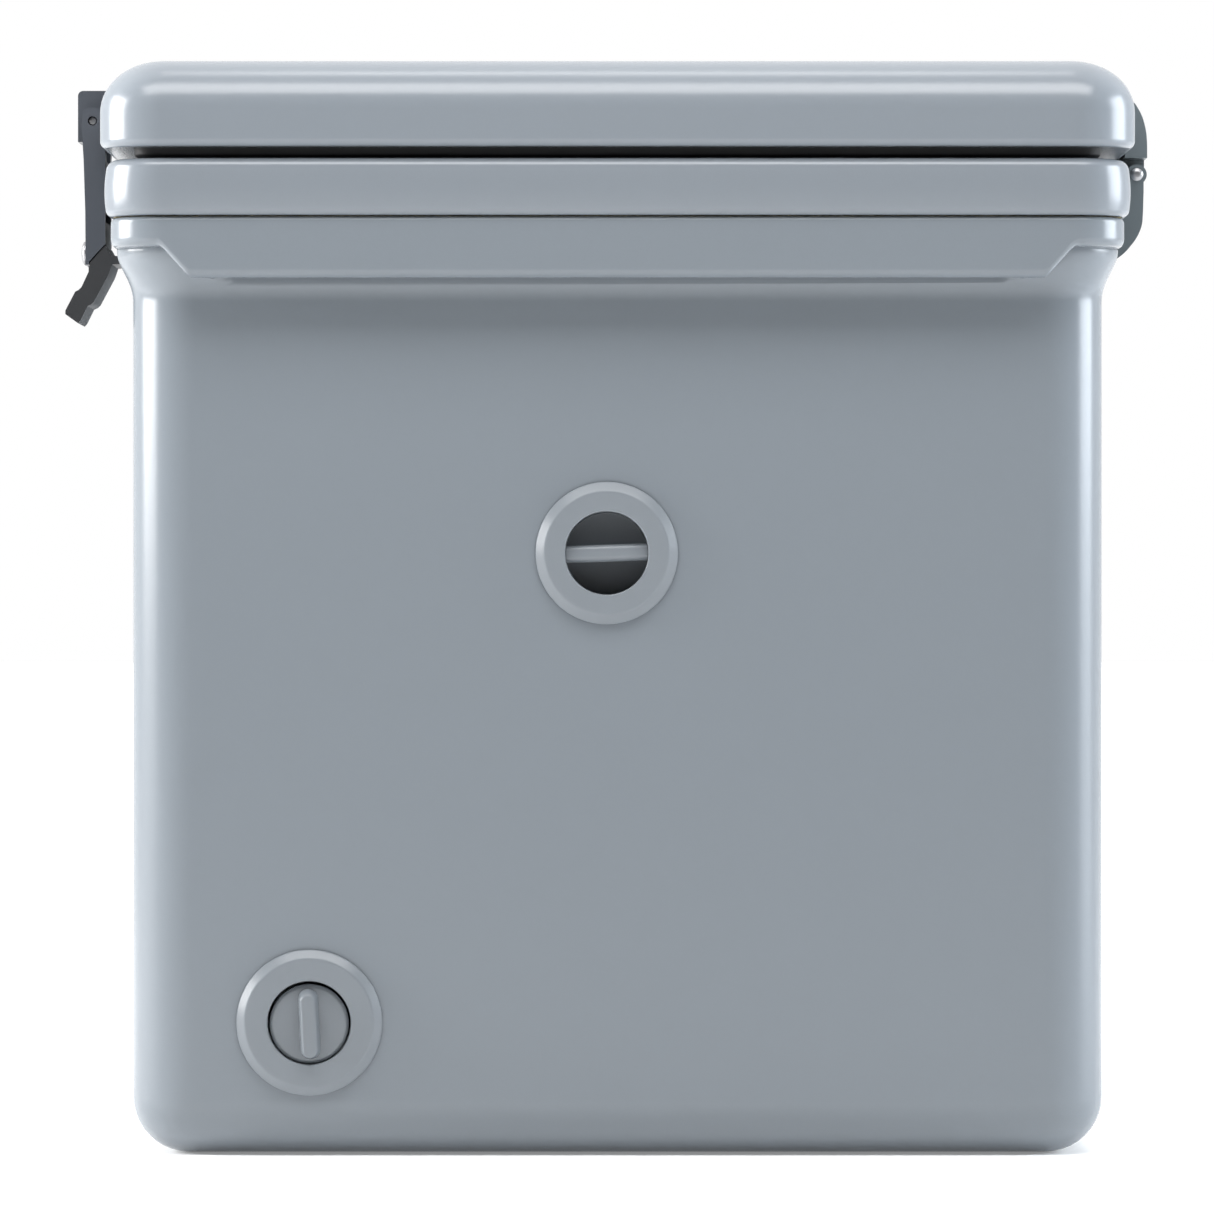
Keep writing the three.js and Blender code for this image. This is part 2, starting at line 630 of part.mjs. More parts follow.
const axleSleeve = tube(BORE, SLEEVE_RADIUS, -sleeveEnd, sleeveEnd, ALONG_X, axleAt, 20);
addPart("body", "axle_sleeve", axleSleeve, "steel");
addPart("body", "axle", rod(AXLE_RADIUS, -axleEnd, axleEnd, ALONG_X, axleAt, 16), "steel");
for (const [side, word] of [[-1, "left"], [1, "right"]]) {
  const place = side < 0 ? mirrored : (shape) => shape;
  const spacer = tube(BORE, 14, sleeveEnd + GAP, sleeveEnd + GAP + SPACER, ALONG_X, axleAt, 16);
  const nut = tube(BORE, 11, nutLow, nutLow + NUT_LENGTH, ALONG_X, axleAt, 16);
  addPart("body", "wheel_spacer_" + word, place(spacer), "steel");
  addPart("body", "axle_nut_" + word, place(nut), "steel");
  for (const [piece, [shape, look]] of Object.entries(wheelPieces())) {
    addPart("wheel_" + word, piece + "_" + word, place(shape), look);
  }
}

// ---- Lid ----
const PAN_TOP = LID_BOTTOM + PAN;
const PLUG_X = MOUTH_X - PLUG_PLAY;
const PLUG_Y = MOUTH_Y - PLUG_PLAY;
const PLUG_BOTTOM = LID_BOTTOM - PLUG_DEPTH;
const GASKET_X = LID_X - GASKET_INSET;
const GASKET_Y = LID_Y - GASKET_INSET;

function lidBlock(inset, bottom) {
  const edge = LID_EDGE_ROUND;
  const rounded = arc(0, 0, edge, 270, 360, 3).map(([u, v]) => [edge - u, bottom + edge + v]);
  const lower = inset === 0 ? rounded : [[0, bottom]];
  const out = LID_ROUND_OUT - inset;
  const up = LID_ROUND_UP - inset;
  const upper = arc(0, 0, 1, 0, 90, 5).map(([u, v]) => [out * (1 - u), HEIGHT - inset - up * (1 - v)]);
  return loft([...lower, ...upper].map(([step, z]) => {
    return ring(LID_X - inset - step, LID_Y - inset - step, LID_CORNER - inset - step, z);
  }));
}

function lidPlug(inset) {
  const top = PAN_TOP + (inset ? 1 : 0);
  const bottom = PLUG_BOTTOM + inset;
  const corner = CAVITY_CORNER - PLUG_PLAY - inset;
  const level = (step, z) => ring(PLUG_X - inset - step, PLUG_Y - inset - step, corner - step, z);
  return loft([level(5, bottom), level(2.5, bottom + 2), level(2, bottom + 5), level(0, top)]);
}

function gasketRing(grow, low, high) {
  const outer = slab(GASKET_X + grow, GASKET_Y + grow, LID_CORNER - GASKET_INSET, low, high);
  const inset = GASKET_WIDTH + grow;
  return outer.subtract(slab(GASKET_X - inset, GASKET_Y - inset, 6, low - 1, high + 1));
}

function lidCover() {
  const wide = [LID_X - LID_EDGE, LID_Y - LID_EDGE, LID_CORNER - LID_EDGE];
  let cover = lidBlock(0, LID_BOTTOM)
    .subtract(lidBlock(SKIN, PAN_TOP + GAP))
    .subtract(slab(...wide, LID_BOTTOM - 1, PAN_TOP + 1));
  for (const [end] of endSigns) {
    for (const side of [-1, 1]) {
      const hinge = hingeY(end) + side * HINGE_SCREW_SPREAD;
      const plate = latchY(end) + side * PLATE_SCREW_SPREAD;
      cover = cover
        .subtract(screwHole(LID_X - SKIN - 1, LID_X + 1, hinge, UPPER_SCREW_Z))
        .subtract(screwHole(-LID_X - 1, -LID_X + SKIN + 1, plate, LATCH_Z - 6));
    }
  }
  return cover;
}

function lidLiner() {
  const inset = LID_EDGE + GAP;
  const pan = slab(LID_X - inset, LID_Y - inset, LID_CORNER - inset, LID_BOTTOM, PAN_TOP);
  return pan
    .add(lidPlug(0))
    .subtract(lidPlug(SKIN))
    .subtract(gasketRing(GAP, LID_BOTTOM - 1, LID_BOTTOM + GROOVE));
}

addPart("lid", "lid_cover", lidCover(), "lid");
addPart("lid", "lid_liner", lidLiner(), "liner");
addPart("lid", "lid_foam", lidBlock(SKIN + GAP, PAN_TOP + GAP).add(lidPlug(SKIN + GAP)), "foam");
addPart("lid", "lid_gasket", gasketRing(0, RIM_TOP + GAP, LID_BOTTOM + GROOVE - GAP), "rubber");

// ---- Hinges: interleaved leaves on one steel pin ----
const KNUCKLES = 5;
const KNUCKLE_PLAY = 0.2;
const LOWER_PLATE_TOP = HINGE_Z - KNUCKLE - 2.6;
const UPPER_TOP = HEIGHT - LID_ROUND_UP + 6;
const UPPER_SEAT = LID_X + GAP;
const RIM_SEAT = RIM_X + GAP;
const BAND_SEAT = BAND_X + GAP;

// One barrel slice with its web: up is +1 for the lid's leaf and -1 for the tub's.
function knuckle(end, slot, up) {
  const pitch = HINGE_WIDTH / KNUCKLES;
  const low = hingeY(end) - HINGE_WIDTH / 2 + slot * pitch + KNUCKLE_PLAY;
  const high = low + pitch - 2 * KNUCKLE_PLAY;
  const barrel = rod(KNUCKLE, low, high, ALONG_Y, [HINGE_X, 0, HINGE_Z], 16);
  const inner = up > 0 ? HINGE_X - KNUCKLE + 0.8 : RIM_SEAT;
  const outer = HINGE_X + KNUCKLE - (up > 0 ? 0.1 : 1.3);
  const levels = up > 0 ? [HINGE_Z, LID_BOTTOM + 1] : [LOWER_PLATE_TOP - 1, HINGE_Z];
  return barrel.add(block([inner, low, levels[0]], [outer, high, levels[1]]));
}

function hingeLeaf(end, outline, up, slots, screwZ, seat) {
  const y = hingeY(end);
  const outside = HINGE_X + 30;
  let leaf = prism(outline, ALONG_Y, y - HINGE_WIDTH / 2 + KNUCKLE_PLAY, y + HINGE_WIDTH / 2 - KNUCKLE_PLAY);
  for (const slot of slots) leaf = leaf.add(knuckle(end, slot, up));
  leaf = leaf.subtract(rod(HINGE_PIN + 0.25, -LID_Y, LID_Y, ALONG_Y, [HINGE_X, 0, HINGE_Z], 12));
  for (const side of [-1, 1]) {
    const screwY = y + side * HINGE_SCREW_SPREAD;
    leaf = leaf
      .subtract(screwHole(LID_X - 20, seat + 1, screwY, screwZ))
      .subtract(rod(SCREW.head + SCREW.play, seat - SCREW.play, outside, ALONG_X, [0, screwY, screwZ], 12));
  }
  return leaf;
}

const upperOutline = [
  [UPPER_SEAT, LID_BOTTOM + GAP],
  [UPPER_SEAT, HEIGHT - LID_ROUND_UP],
  [UPPER_SEAT - 0.7, UPPER_TOP - 0.2],
  [LID_X + 5, UPPER_TOP],
  [LID_X + 7.8, UPPER_TOP - 3],
  [HINGE_X + KNUCKLE - 0.1, UPPER_TOP - 17.9],
  [HINGE_X + KNUCKLE - 0.1, LID_BOTTOM + GAP],
];
const lowerOutline = [
  [RIM_SEAT, LOWER_PLATE_TOP],
  [RIM_SEAT, RIM_BOTTOM],
  [BAND_SEAT, SHELL_TOP],
  [BAND_SEAT, BAND_BOTTOM],
  [BAND_SEAT + 0.5, BAND_BOTTOM - 2.2],
  [HINGE_X - 2.9, BAND_BOTTOM + 4],
  [HINGE_X + 1.9, BAND_BOTTOM + 11.7],
  [HINGE_X + 3.8, BAND_BOTTOM + 19.4],
  [HINGE_X + 4.3, LOWER_PLATE_TOP - 1.6],
  [HINGE_X + 4.5, LOWER_PLATE_TOP],
];

function hingePin(end) {
  const half = HINGE_WIDTH / 2;
  const head = HINGE_PIN + 0.8;
  const profile = [
    [0, -half - 1.6], [head * 0.7, -half - 1.4], [head, -half - GAP], [HINGE_PIN, -half - GAP],
    [HINGE_PIN, half + GAP], [head, half + GAP], [head * 0.7, half + 1.4], [0, half + 1.6],
  ];
  return turned(profile, ALONG_Y, [HINGE_X, hingeY(end), HINGE_Z], 12);
}

const upperScrewSeat = LID_X + 6;
const lowerScrewSeat = BAND_X + 5.5;
for (const [end, number] of endSigns) {
  const upper = hingeLeaf(end, upperOutline, 1, [1, 3], UPPER_SCREW_Z, upperScrewSeat);
  const lower = hingeLeaf(end, lowerOutline, -1, [0, 2, 4], LOWER_SCREW_Z, lowerScrewSeat);
  addPart("lid", "hinge_upper_leaf_" + number, upper, "hinge");
  addPart("body", "hinge_lower_leaf_" + number, lower, "hinge");
  addPart("body", "hinge_pin_" + number, hingePin(end), "steel");
  for (const [side, letter] of [[-1, "a"], [1, "b"]]) {
    const y = hingeY(end) + side * HINGE_SCREW_SPREAD;
    const upperScrew = screwShape(upperScrewSeat, LID_X - SKIN + 0.5, 1, y, UPPER_SCREW_Z);
    const lowerScrew = screwShape(lowerScrewSeat, BAND_X - SKIN + 0.5, 1, y, LOWER_SCREW_Z);
    addPart("lid", "hinge_screw_upper_" + number + letter, upperScrew, "steel");
    addPart("body", "hinge_screw_lower_" + number + letter, lowerScrew, "steel");
  }
}

// ---- Latches: an arm that hangs from a hood on the lid and hooks under the band ----
const CATCH_TOP = BAND_BOTTOM - GAP;
const WINDOW_BOTTOM = LATCH_Z - 19;
const ARM_BACK = -LID_X - 2.5;

// The lid's side profile, pushed out by a clearance, between two heights.
function alongLid(low, high, steps) {
  const start = HEIGHT - LID_ROUND_UP;
  return Array.from({ length: steps + 1 }, (_, i) => {
    const z = low + ((high - low) * i) / steps;
    const rise = Math.max(0, (z - start) / LID_ROUND_UP);
    return [-(LID_X - LID_ROUND_OUT * (1 - Math.sqrt(1 - rise * rise)) + GAP), z];
  });
}

function latchBracket(end) {
  const y = latchY(end);
  const top = LATCH_Z + 15;
  const tip = LATCH_X - 7.6;
  const hood = [
    ...alongLid(LATCH_Z - 14.5, top, 8),
    ...arc(tip + 2.5, top - 2.5, 2.5, 90, 180, 3),
    [tip, LATCH_Z - 9.4],
    [tip + 2, LATCH_Z - 9.4],
    [tip + 2, LATCH_Z - 6],
    [LATCH_X - 3, LATCH_Z - 6],
    [-LID_X - GAP - LATCH_PLATE, LATCH_Z - 14.5],
  ];
  const half = LATCH_WIDTH / 2 + PLATE_EAR;
  const seat = -LID_X - GAP;
  let bracket = prism(hood, ALONG_Y, y - HOOD_WIDTH / 2, y + HOOD_WIDTH / 2)
    .add(block([seat - LATCH_PLATE, y - half, LATCH_Z - 14.5], [seat, y + half, HEIGHT - LID_ROUND_UP]))
    .subtract(rod(LATCH_PIN + 0.2, -LID_Y, LID_Y, ALONG_Y, [LATCH_X, 0, LATCH_Z], 14));
  for (const side of [-1, 1]) {
    bracket = bracket.subtract(screwHole(-LID_X - 9, -LID_X, y + side * PLATE_SCREW_SPREAD, LATCH_Z - 6));
  }
  return bracket;
}

function latchArm(end) {
  const y = latchY(end);
  const half = LATCH_WIDTH / 2;
  const outline = [
    ...arc(LATCH_X, LATCH_Z, LATCH_NOSE, 0, 135, 8),
    [LATCH_X - 5.2, LATCH_Z - 2],
    [LATCH_X - 4.2, LATCH_Z - 18],
    [LATCH_X - 3.4, LATCH_Z - 43],
    [LATCH_X - 3.2, BAND_BOTTOM - 4.4],
    [LATCH_X - 1.6, BAND_BOTTOM - 4.4],
    [LATCH_X - 1.6, BAND_BOTTOM - 3],
    [ARM_BACK, BAND_BOTTOM + 5.4],
    [ARM_BACK, LATCH_Z - 16],
  ];
  const inner = LATCH_X - 1.6;
  const window = HOOD_WIDTH / 2 + 0.5;
  return prism(outline, ALONG_Y, y - half, y + half)
    .subtract(block([LATCH_X - 20, y - window, WINDOW_BOTTOM], [0, y + window, HEIGHT]))
    .subtract(block([inner, y - half + 4, BAND_BOTTOM - 5], [0, y + half - 4, WINDOW_BOTTOM - 4]))
    .subtract(rod(LATCH_PIN + 0.2, -LID_Y, LID_Y, ALONG_Y, [LATCH_X, 0, LATCH_Z], 14));
}

// The black catch: a hook inwards under the band and a finger tail that flares outwards.
function latchCatch(end) {
  const y = latchY(end);
  const half = LATCH_WIDTH / 2;
  const left = LATCH_X - 1.3;
  const outline = [
    [left, BAND_BOTTOM - 3.7],
    [ARM_BACK + 0.2, BAND_BOTTOM + 4.6],
    [-LID_X + 0.4, CATCH_TOP],
    [-BODY_X - 5, CATCH_TOP],
    [-BODY_X - 4.3, CATCH_TOP - 1.7],
    [-BODY_X - 5.5, CATCH_TOP - 3.5],
    [-LID_X + 0.7, CATCH_TOP - 4.1],
    [-LID_X - 0.9, CATCH_TOP - 8.8],
    [LATCH_X + 0.8, CATCH_TOP - 21.7],
    [LATCH_X - 0.5, CATCH_TOP - 23],
    [LATCH_X - 2.3, CATCH_TOP - 23.8],
    [LATCH_X - 5.7, CATCH_TOP - 30.7],
    [LATCH_X - 6.9, CATCH_TOP - 32],
    [LATCH_X - 12.9, CATCH_TOP - 27.7],
    [LATCH_X - 12.9, CATCH_TOP - 26],
    [LATCH_X - 8.2, CATCH_TOP - 17],
    [LATCH_X - 6.5, CATCH_TOP - 16.1],
    [LATCH_X - 5.2, CATCH_TOP - 14.8],
    [LATCH_X - 1.8, CATCH_TOP - 7.5],
    [LATCH_X - 1.8, BAND_BOTTOM - 5],
    [left, BAND_BOTTOM - 5],
  ];
  const tongue = block(
    [left, y - half + 4.3, BAND_BOTTOM - 4], [ARM_BACK + 0.1, y + half - 4.3, BAND_BOTTOM + 16]);
  const body = prism(outline, ALONG_Y, y - half, y + half).add(tongue);
  return body.subtract(rivetHoles(end, 0.3));
}

const RIVET = { radius: 2.2, head: 5.75, proud: 2.4, spread: 11, length: 9 };
const RIVET_Z = BAND_BOTTOM + 1.4;

function rivetHoles(end, play) {
  const holes = [-1, 1].map((side) => {
    const centre = [0, latchY(end) + side * RIVET.spread, RIVET_Z];
    return rod(RIVET.radius + play, LATCH_X - 8, LATCH_X + RIVET.length, ALONG_X, centre, 12);
  });
  return holes[0].add(holes[1]);
}

function rivetShape(end, side) {
  const seat = LATCH_X - 3.3 - GAP;
  const tip = LATCH_X + 4;
  const profile = [
    [0, seat - RIVET.proud],
    [RIVET.head * 0.6, seat - RIVET.proud * 0.85],
    [RIVET.head, seat - 0.6],
    [RIVET.head, seat],
    [RIVET.radius, seat],
    [RIVET.radius, tip],
    [0, tip],
  ];
  return turned(profile, ALONG_X, [0, latchY(end) + side * RIVET.spread, RIVET_Z], 12);
}

for (const [end, number] of endSigns) {
  const body = "latch_" + number;
  addPart("lid", "latch_bracket_" + number, latchBracket(end), "latch");
  const pin = rod(LATCH_PIN, -LATCH_WIDTH / 2, LATCH_WIDTH / 2, ALONG_Y, [LATCH_X, latchY(end), LATCH_Z], 14);
  addPart("lid", "latch_pin_" + number, pin, "steel");
  addPart(body, "latch_arm_" + number, latchArm(end).subtract(rivetHoles(end, 0.3)), "latch");
  addPart(body, "latch_catch_" + number, latchCatch(end), "catch");
  for (const [side, letter] of [[-1, "a"], [1, "b"]]) {
    const y = latchY(end) + side * PLATE_SCREW_SPREAD;
    const seat = -LID_X - LATCH_PLATE - 2 * GAP;
    const screw = screwShape(seat, -LID_X + SKIN - 0.5, -1, y, LATCH_Z - 6);
    addPart("lid", "latch_screw_" + number + letter, screw, "steel");
    addPart(body, "latch_rivet_" + number + letter, rivetShape(end, side), "steel");
  }
}

export default cooler;
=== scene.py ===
"""Chest cooler on two wheels: the finished surfaces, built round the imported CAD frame.

Outlines are in millimetres, in the frame's own axes: -Y drain end, +Y wheel end, -X latches, +X hinges.
"""
import json
import math

import bmesh
import bpy
from mathutils import Matrix, Vector


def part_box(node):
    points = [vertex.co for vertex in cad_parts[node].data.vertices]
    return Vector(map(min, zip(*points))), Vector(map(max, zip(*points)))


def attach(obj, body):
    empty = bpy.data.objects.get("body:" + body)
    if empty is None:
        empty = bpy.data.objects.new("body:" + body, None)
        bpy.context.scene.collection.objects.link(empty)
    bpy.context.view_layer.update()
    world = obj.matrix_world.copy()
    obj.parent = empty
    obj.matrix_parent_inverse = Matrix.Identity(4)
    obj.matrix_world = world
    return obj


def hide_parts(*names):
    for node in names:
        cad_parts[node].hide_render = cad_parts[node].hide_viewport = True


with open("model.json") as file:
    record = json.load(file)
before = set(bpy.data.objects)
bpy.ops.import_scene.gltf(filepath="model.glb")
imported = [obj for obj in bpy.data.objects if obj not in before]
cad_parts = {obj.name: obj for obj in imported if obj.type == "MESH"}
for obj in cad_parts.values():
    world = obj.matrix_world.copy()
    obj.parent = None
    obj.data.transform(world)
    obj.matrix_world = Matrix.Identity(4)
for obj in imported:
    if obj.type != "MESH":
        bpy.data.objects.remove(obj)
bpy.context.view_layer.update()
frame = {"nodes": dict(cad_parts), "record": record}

MM = 0.001


def corner(node, high):
    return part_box(node)[1 if high else 0] / MM


# ---- Sizes, from the frame where it holds them ----
GAP = 0.3
SKIN = 4.0
LID_X, LID_Y, HEIGHT = corner("lid_cover", True)
LID_BOTTOM = corner("lid_cover", False).z
RIM_X, RIM_Y, RIM_TOP = corner("inner_liner", True)
BAND_X, BAND_Y, SHELL_TOP = corner("outer_shell", True)
RIM_BOTTOM = SHELL_TOP + GAP
PAN_TOP = corner("lid_liner", True).z
PLUG_BOTTOM = corner("lid_liner", False).z
FLOOR = corner("inner_liner", False).z + SKIN
BODY_X = LID_X - 13.8
BODY_Y = LID_Y - 26
BODY_CORNER = 30
BAND_CORNER = 26
RIM_CORNER = 29
LID_CORNER = 31
WALL = 41
MOUTH_X = BODY_X - WALL
MOUTH_Y = BODY_Y - WALL
CAVITY_CORNER = 24
CAVITY_DRAFT = 8
CAVITY_ROUND = 8
PLUG_PLAY = 8
BASE_ROUND = 26
COVE_HIGH = 25  # height of the cove under the band
COVE_OUT = 7.4
BAND_BOTTOM = RIM_BOTTOM - 14.1
LIP_BOTTOM = BAND_BOTTOM - 14.7
LIP_LOW = BODY_X - 28.5
LIP_HIGH = LIP_LOW + 13
POCKET_HALF = LIP_LOW - 5
FLANGE = 13
FLANGE_CORNER = 18
RECESS_HALF = 29  # half the length of the recess behind each latch, to the foot of its ramps
RECESS_RAMP = 4
FITTING_BODY = 22.4  # radius of the drain bush and the tow cup inside the shell
PIPE_RADIUS = 14  # outside of the drain bush's pipe
SLEEVE_HOLE = 9.3
AXLE_Y = corner("tyre_right", False).y / 2 + corner("tyre_right", True).y / 2
AXLE_Z = corner("tyre_right", False).z / 2 + corner("tyre_right", True).z / 2
WHEEL_RADIUS = corner("tyre_right", True).y - AXLE_Y
WHEEL_INNER = corner("tyre_right", False).x
WHEEL_OUTER = corner("tyre_right", True).x
WELL_RADIUS = WHEEL_RADIUS + 7
WELL_INNER = WHEEL_INNER - SKIN
RAMP_START = AXLE_Y - WHEEL_RADIUS / 3
RAMP_SLOPE = 0.4
STEP_TOP = AXLE_Z + WELL_RADIUS + 2 * SKIN + 17
STEP_Y = AXLE_Y - WELL_RADIUS - 2 * SKIN - 12
WALL_Y = -BODY_Y - GAP
DRAIN = (corner("drain_plug", False) + corner("drain_plug", True)) / 2
TOW = (corner("tow_cup", False) + corner("tow_cup", True)) / 2
PIN = (corner("hinge_pin_1", False) + corner("hinge_pin_1", True)) / 2
LATCH_PIN = (corner("latch_pin_1", False) + corner("latch_pin_1", True)) / 2
HINGE_Y = abs(PIN.y)
LATCH_Y = abs(LATCH_PIN.y)
HINGE_X, HINGE_Z = PIN.x, PIN.z
LATCH_X, LATCH_Z = LATCH_PIN.x, LATCH_PIN.z

# ---- Mesh helpers ----


def new_object(name, verts, faces):
    mesh = bpy.data.meshes.new(name)
    mesh.from_pydata([Vector(v) * MM for v in verts], [], faces)
    made = bpy.data.objects.new(name, mesh)
    bpy.context.scene.collection.objects.link(made)
    form = bmesh.new()
    form.from_mesh(mesh)
    bmesh.ops.remove_doubles(form, verts=form.verts, dist=2e-6)
    bmesh.ops.recalc_face_normals(form, faces=form.faces)
    if form.calc_volume(signed=True) < 0:
        bmesh.ops.reverse_faces(form, faces=form.faces)
    form.to_mesh(mesh)
    form.free()
    return made


def bake(made):
    """Turns what the modifiers make into the object's own mesh."""
    bpy.context.view_layer.update()
    evaluated = made.evaluated_get(bpy.context.evaluated_depsgraph_get())
    mesh = bpy.data.meshes.new_from_object(evaluated)
    made.modifiers.clear()
    old = made.data
    made.data = mesh
    bpy.data.meshes.remove(old)
    return made


def combine(made, other, operation):
    step = made.modifiers.new("combine", "BOOLEAN")
    step.operation = operation
    step.solver = "MANIFOLD"
    step.object = other
    bake(made)
    bpy.data.objects.remove(other)
    return made


def cut(made, *others):
    for other in others:
        combine(made, other, "DIFFERENCE")
    return made


def join(made, *others):
    for other in others:
        combine(made, other, "UNION")
    return made


def soften(made, width, segments=3, angle=32):
    """Rounds every edge sharper than the angle."""
    form = bmesh.new()
    form.from_mesh(made.data)
    bmesh.ops.dissolve_limit(form, angle_limit=math.radians(0.3), verts=form.verts, edges=form.edges)
    form.to_mesh(made.data)
    form.free()
    bevel = made.modifiers.new("soften", "BEVEL")
    bevel.width = width * MM
    bevel.segments = segments
    bevel.limit_method = "ANGLE"
    bevel.angle_limit = math.radians(angle)
    bevel.miter_outer = "MITER_ARC"
    bake(made)
    return made


def smooth(made, angle=38):
    form = bmesh.new()
    form.from_mesh(made.data)
    for face in form.faces:
        face.smooth = True
    for edge in form.edges:
        edge.smooth = len(edge.link_faces) == 2 and edge.calc_face_angle() < math.radians(angle)
    form.to_mesh(made.data)
    form.free()
    weigh = made.modifiers.new("weigh", "WEIGHTED_NORMAL")
    weigh.keep_sharp = True
    bake(made)
    return made


def ring(half_x, half_y, radius, z, steps=16):
    radius = max(radius, 1.0)
    points = []
    for quarter in range(4):
        centre_x = (1 if quarter in (0, 3) else -1) * (half_x - radius)
        centre_y = (1 if quarter < 2 else -1) * (half_y - radius)
        for i in range(steps + 1):
            angle = (quarter + i / steps) * math.pi / 2
            points.append((centre_x + radius * math.cos(angle), centre_y + radius * math.sin(angle), z))
    return points


def loft(name, rings):
    """A closed solid through rings of equal counts, capped at both ends."""
    count = len(rings[0])
    verts = [point for level in rings for point in level]
    faces = []
    for level in range(len(rings) - 1):
        low = level * count
        for i in range(count):
            j = (i + 1) % count
            faces.append((low + i, low + j, low + count + j, low + count + i))
    faces.append(tuple(range(count - 1, -1, -1)))
    faces.append(tuple(range(len(verts) - count, len(verts))))
    return new_object(name, verts, faces)


def slab(name, half_x, half_y, radius, low, high, steps=16):
    return loft(name, [ring(half_x, half_y, radius, z, steps) for z in (low, high)])


def block(name, low, high):
    xs, ys, zs = zip(low, high)
    rings = [[(xs[0], ys[0], z), (xs[1], ys[0], z), (xs[1], ys[1], z), (xs[0], ys[1], z)] for z in zs]
    return loft(name, rings)


def prism(name, outline, axis, low, high):
    """An outline pushed along an axis: (y, z) points along X, or (x, z) points along Y."""
    if axis == "X":
        rings = [[(end, u, v) for u, v in outline] for end in (low, high)]
    else:
        rings = [[(u, end, v) for u, v in outline] for end in (low, high)]
    return loft(name, rings)


def turned(name, profile, axis, centre, steps=64, closed=False):
    """A profile of (radius, place along the axis) points turned about a line through the centre."""
    cx, cy, cz = centre
    rings = []
    for i in range(steps):
        angle = 2 * math.pi * i / steps
        c, s = math.cos(angle), math.sin(angle)
        if axis == "X":
            rings.append([(cx + along, cy + r * c, cz + r * s) for r, along in profile])
        else:
            rings.append([(cx + r * c, cy + along, cz + r * s) for r, along in profile])
    count = len(profile)
    verts = [point for level in rings for point in level]
    faces = []
    for i in range(steps):
        here, there = i * count, ((i + 1) % steps) * count
        for k in range(count if closed else count - 1):
            n = (k + 1) % count
            if max(profile[k][0], profile[n][0]) >= 1e-6:
                faces.append((here + k, here + n, there + n, there + k))
    return new_object(name, verts, faces)


def rod(name, radius, low, high, axis, centre, steps=48):
    return turned(name, [(0, low), (radius, low), (radius, high), (0, high)], axis, centre, steps)


def arc(u, v, radius, start, end, steps):
    points = []
    for i in range(steps + 1):
        angle = math.radians(start + (end - start) * i / steps)
        points.append((u + radius * math.cos(angle), v + radius * math.sin(angle)))
    return points


def fillet(radius, step):
    """A quarter round at the foot of a wall: at each angle, how far in from the wall it is and how high."""
    for turn in range(0, 91, step):
        angle = math.radians(turn)
        yield radius * (1 - math.sin(angle)), radius * (1 - math.cos(angle))


def rounded(profile, radius, steps=4, closed=False):
    """The profile with each corner replaced by a curve that starts a radius away, where there is room."""
    points = [Vector(p) for p in profile]
    out = []
    last = len(points) - 1
    for i, here in enumerate(points):
        if not closed and i in (0, last):
            out.append(tuple(here))
            continue
        before, after = points[i - 1], points[(i + 1) % len(points)]
        reach = min(radius, (before - here).length * 0.45, (after - here).length * 0.45)
        a = here + (before - here).normalized() * reach
        b = here + (after - here).normalized() * reach
        for k in range(steps + 1):
            t = k / steps
            out.append(tuple(a * (1 - t) ** 2 + here * 2 * t * (1 - t) + b * t * t))
    return out


# ---- Materials ----


def moulded(name, colour, deep, roughness, gloss_range, peel, peel_depth, speckle=1500):
    """Plastic or rubber: a speckle between two close colours, uneven gloss and a fine orange peel."""
    material = bpy.data.materials.new(name)
    material.use_nodes = True
    nodes, wires = material.node_tree.nodes, material.node_tree.links
    shader = nodes["Principled BSDF"]
    place = nodes.new("ShaderNodeTexCoord")
    drift = nodes.new("ShaderNodeTexNoise")
    drift.inputs["Scale"].default_value = speckle
    drift.inputs["Detail"].default_value = 4
    wires.new(place.outputs["Object"], drift.inputs["Vector"])
    tint = nodes.new("ShaderNodeValToRGB")
    tint.color_ramp.elements[0].position = 0.1
    tint.color_ramp.elements[1].position = 0.9
    tint.color_ramp.elements[0].color = (*deep, 1)
    tint.color_ramp.elements[1].color = (*colour, 1)
    wires.new(drift.outputs["Fac"], tint.inputs["Fac"])
    wires.new(tint.outputs["Color"], shader.inputs["Base Color"])
    wear = nodes.new("ShaderNodeTexNoise")
    wear.inputs["Scale"].default_value = 14
    wear.inputs["Detail"].default_value = 2
    wires.new(place.outputs["Object"], wear.inputs["Vector"])
    gloss = nodes.new("ShaderNodeMapRange")
    gloss.inputs["To Min"].default_value = roughness - gloss_range
    gloss.inputs["To Max"].default_value = roughness + gloss_range
    wires.new(wear.outputs["Fac"], gloss.inputs["Value"])
    wires.new(gloss.outputs["Result"], shader.inputs["Roughness"])
    grain = nodes.new("ShaderNodeTexNoise")
    grain.inputs["Scale"].default_value = peel
    grain.inputs["Detail"].default_value = 2
    wires.new(place.outputs["Object"], grain.inputs["Vector"])
    bump = nodes.new("ShaderNodeBump")
    bump.inputs["Strength"].default_value = 1.0
    bump.inputs["Distance"].default_value = peel_depth
    wires.new(grain.outputs["Fac"], bump.inputs["Height"])
    wires.new(bump.outputs["Normal"], shader.inputs["Normal"])
    return material


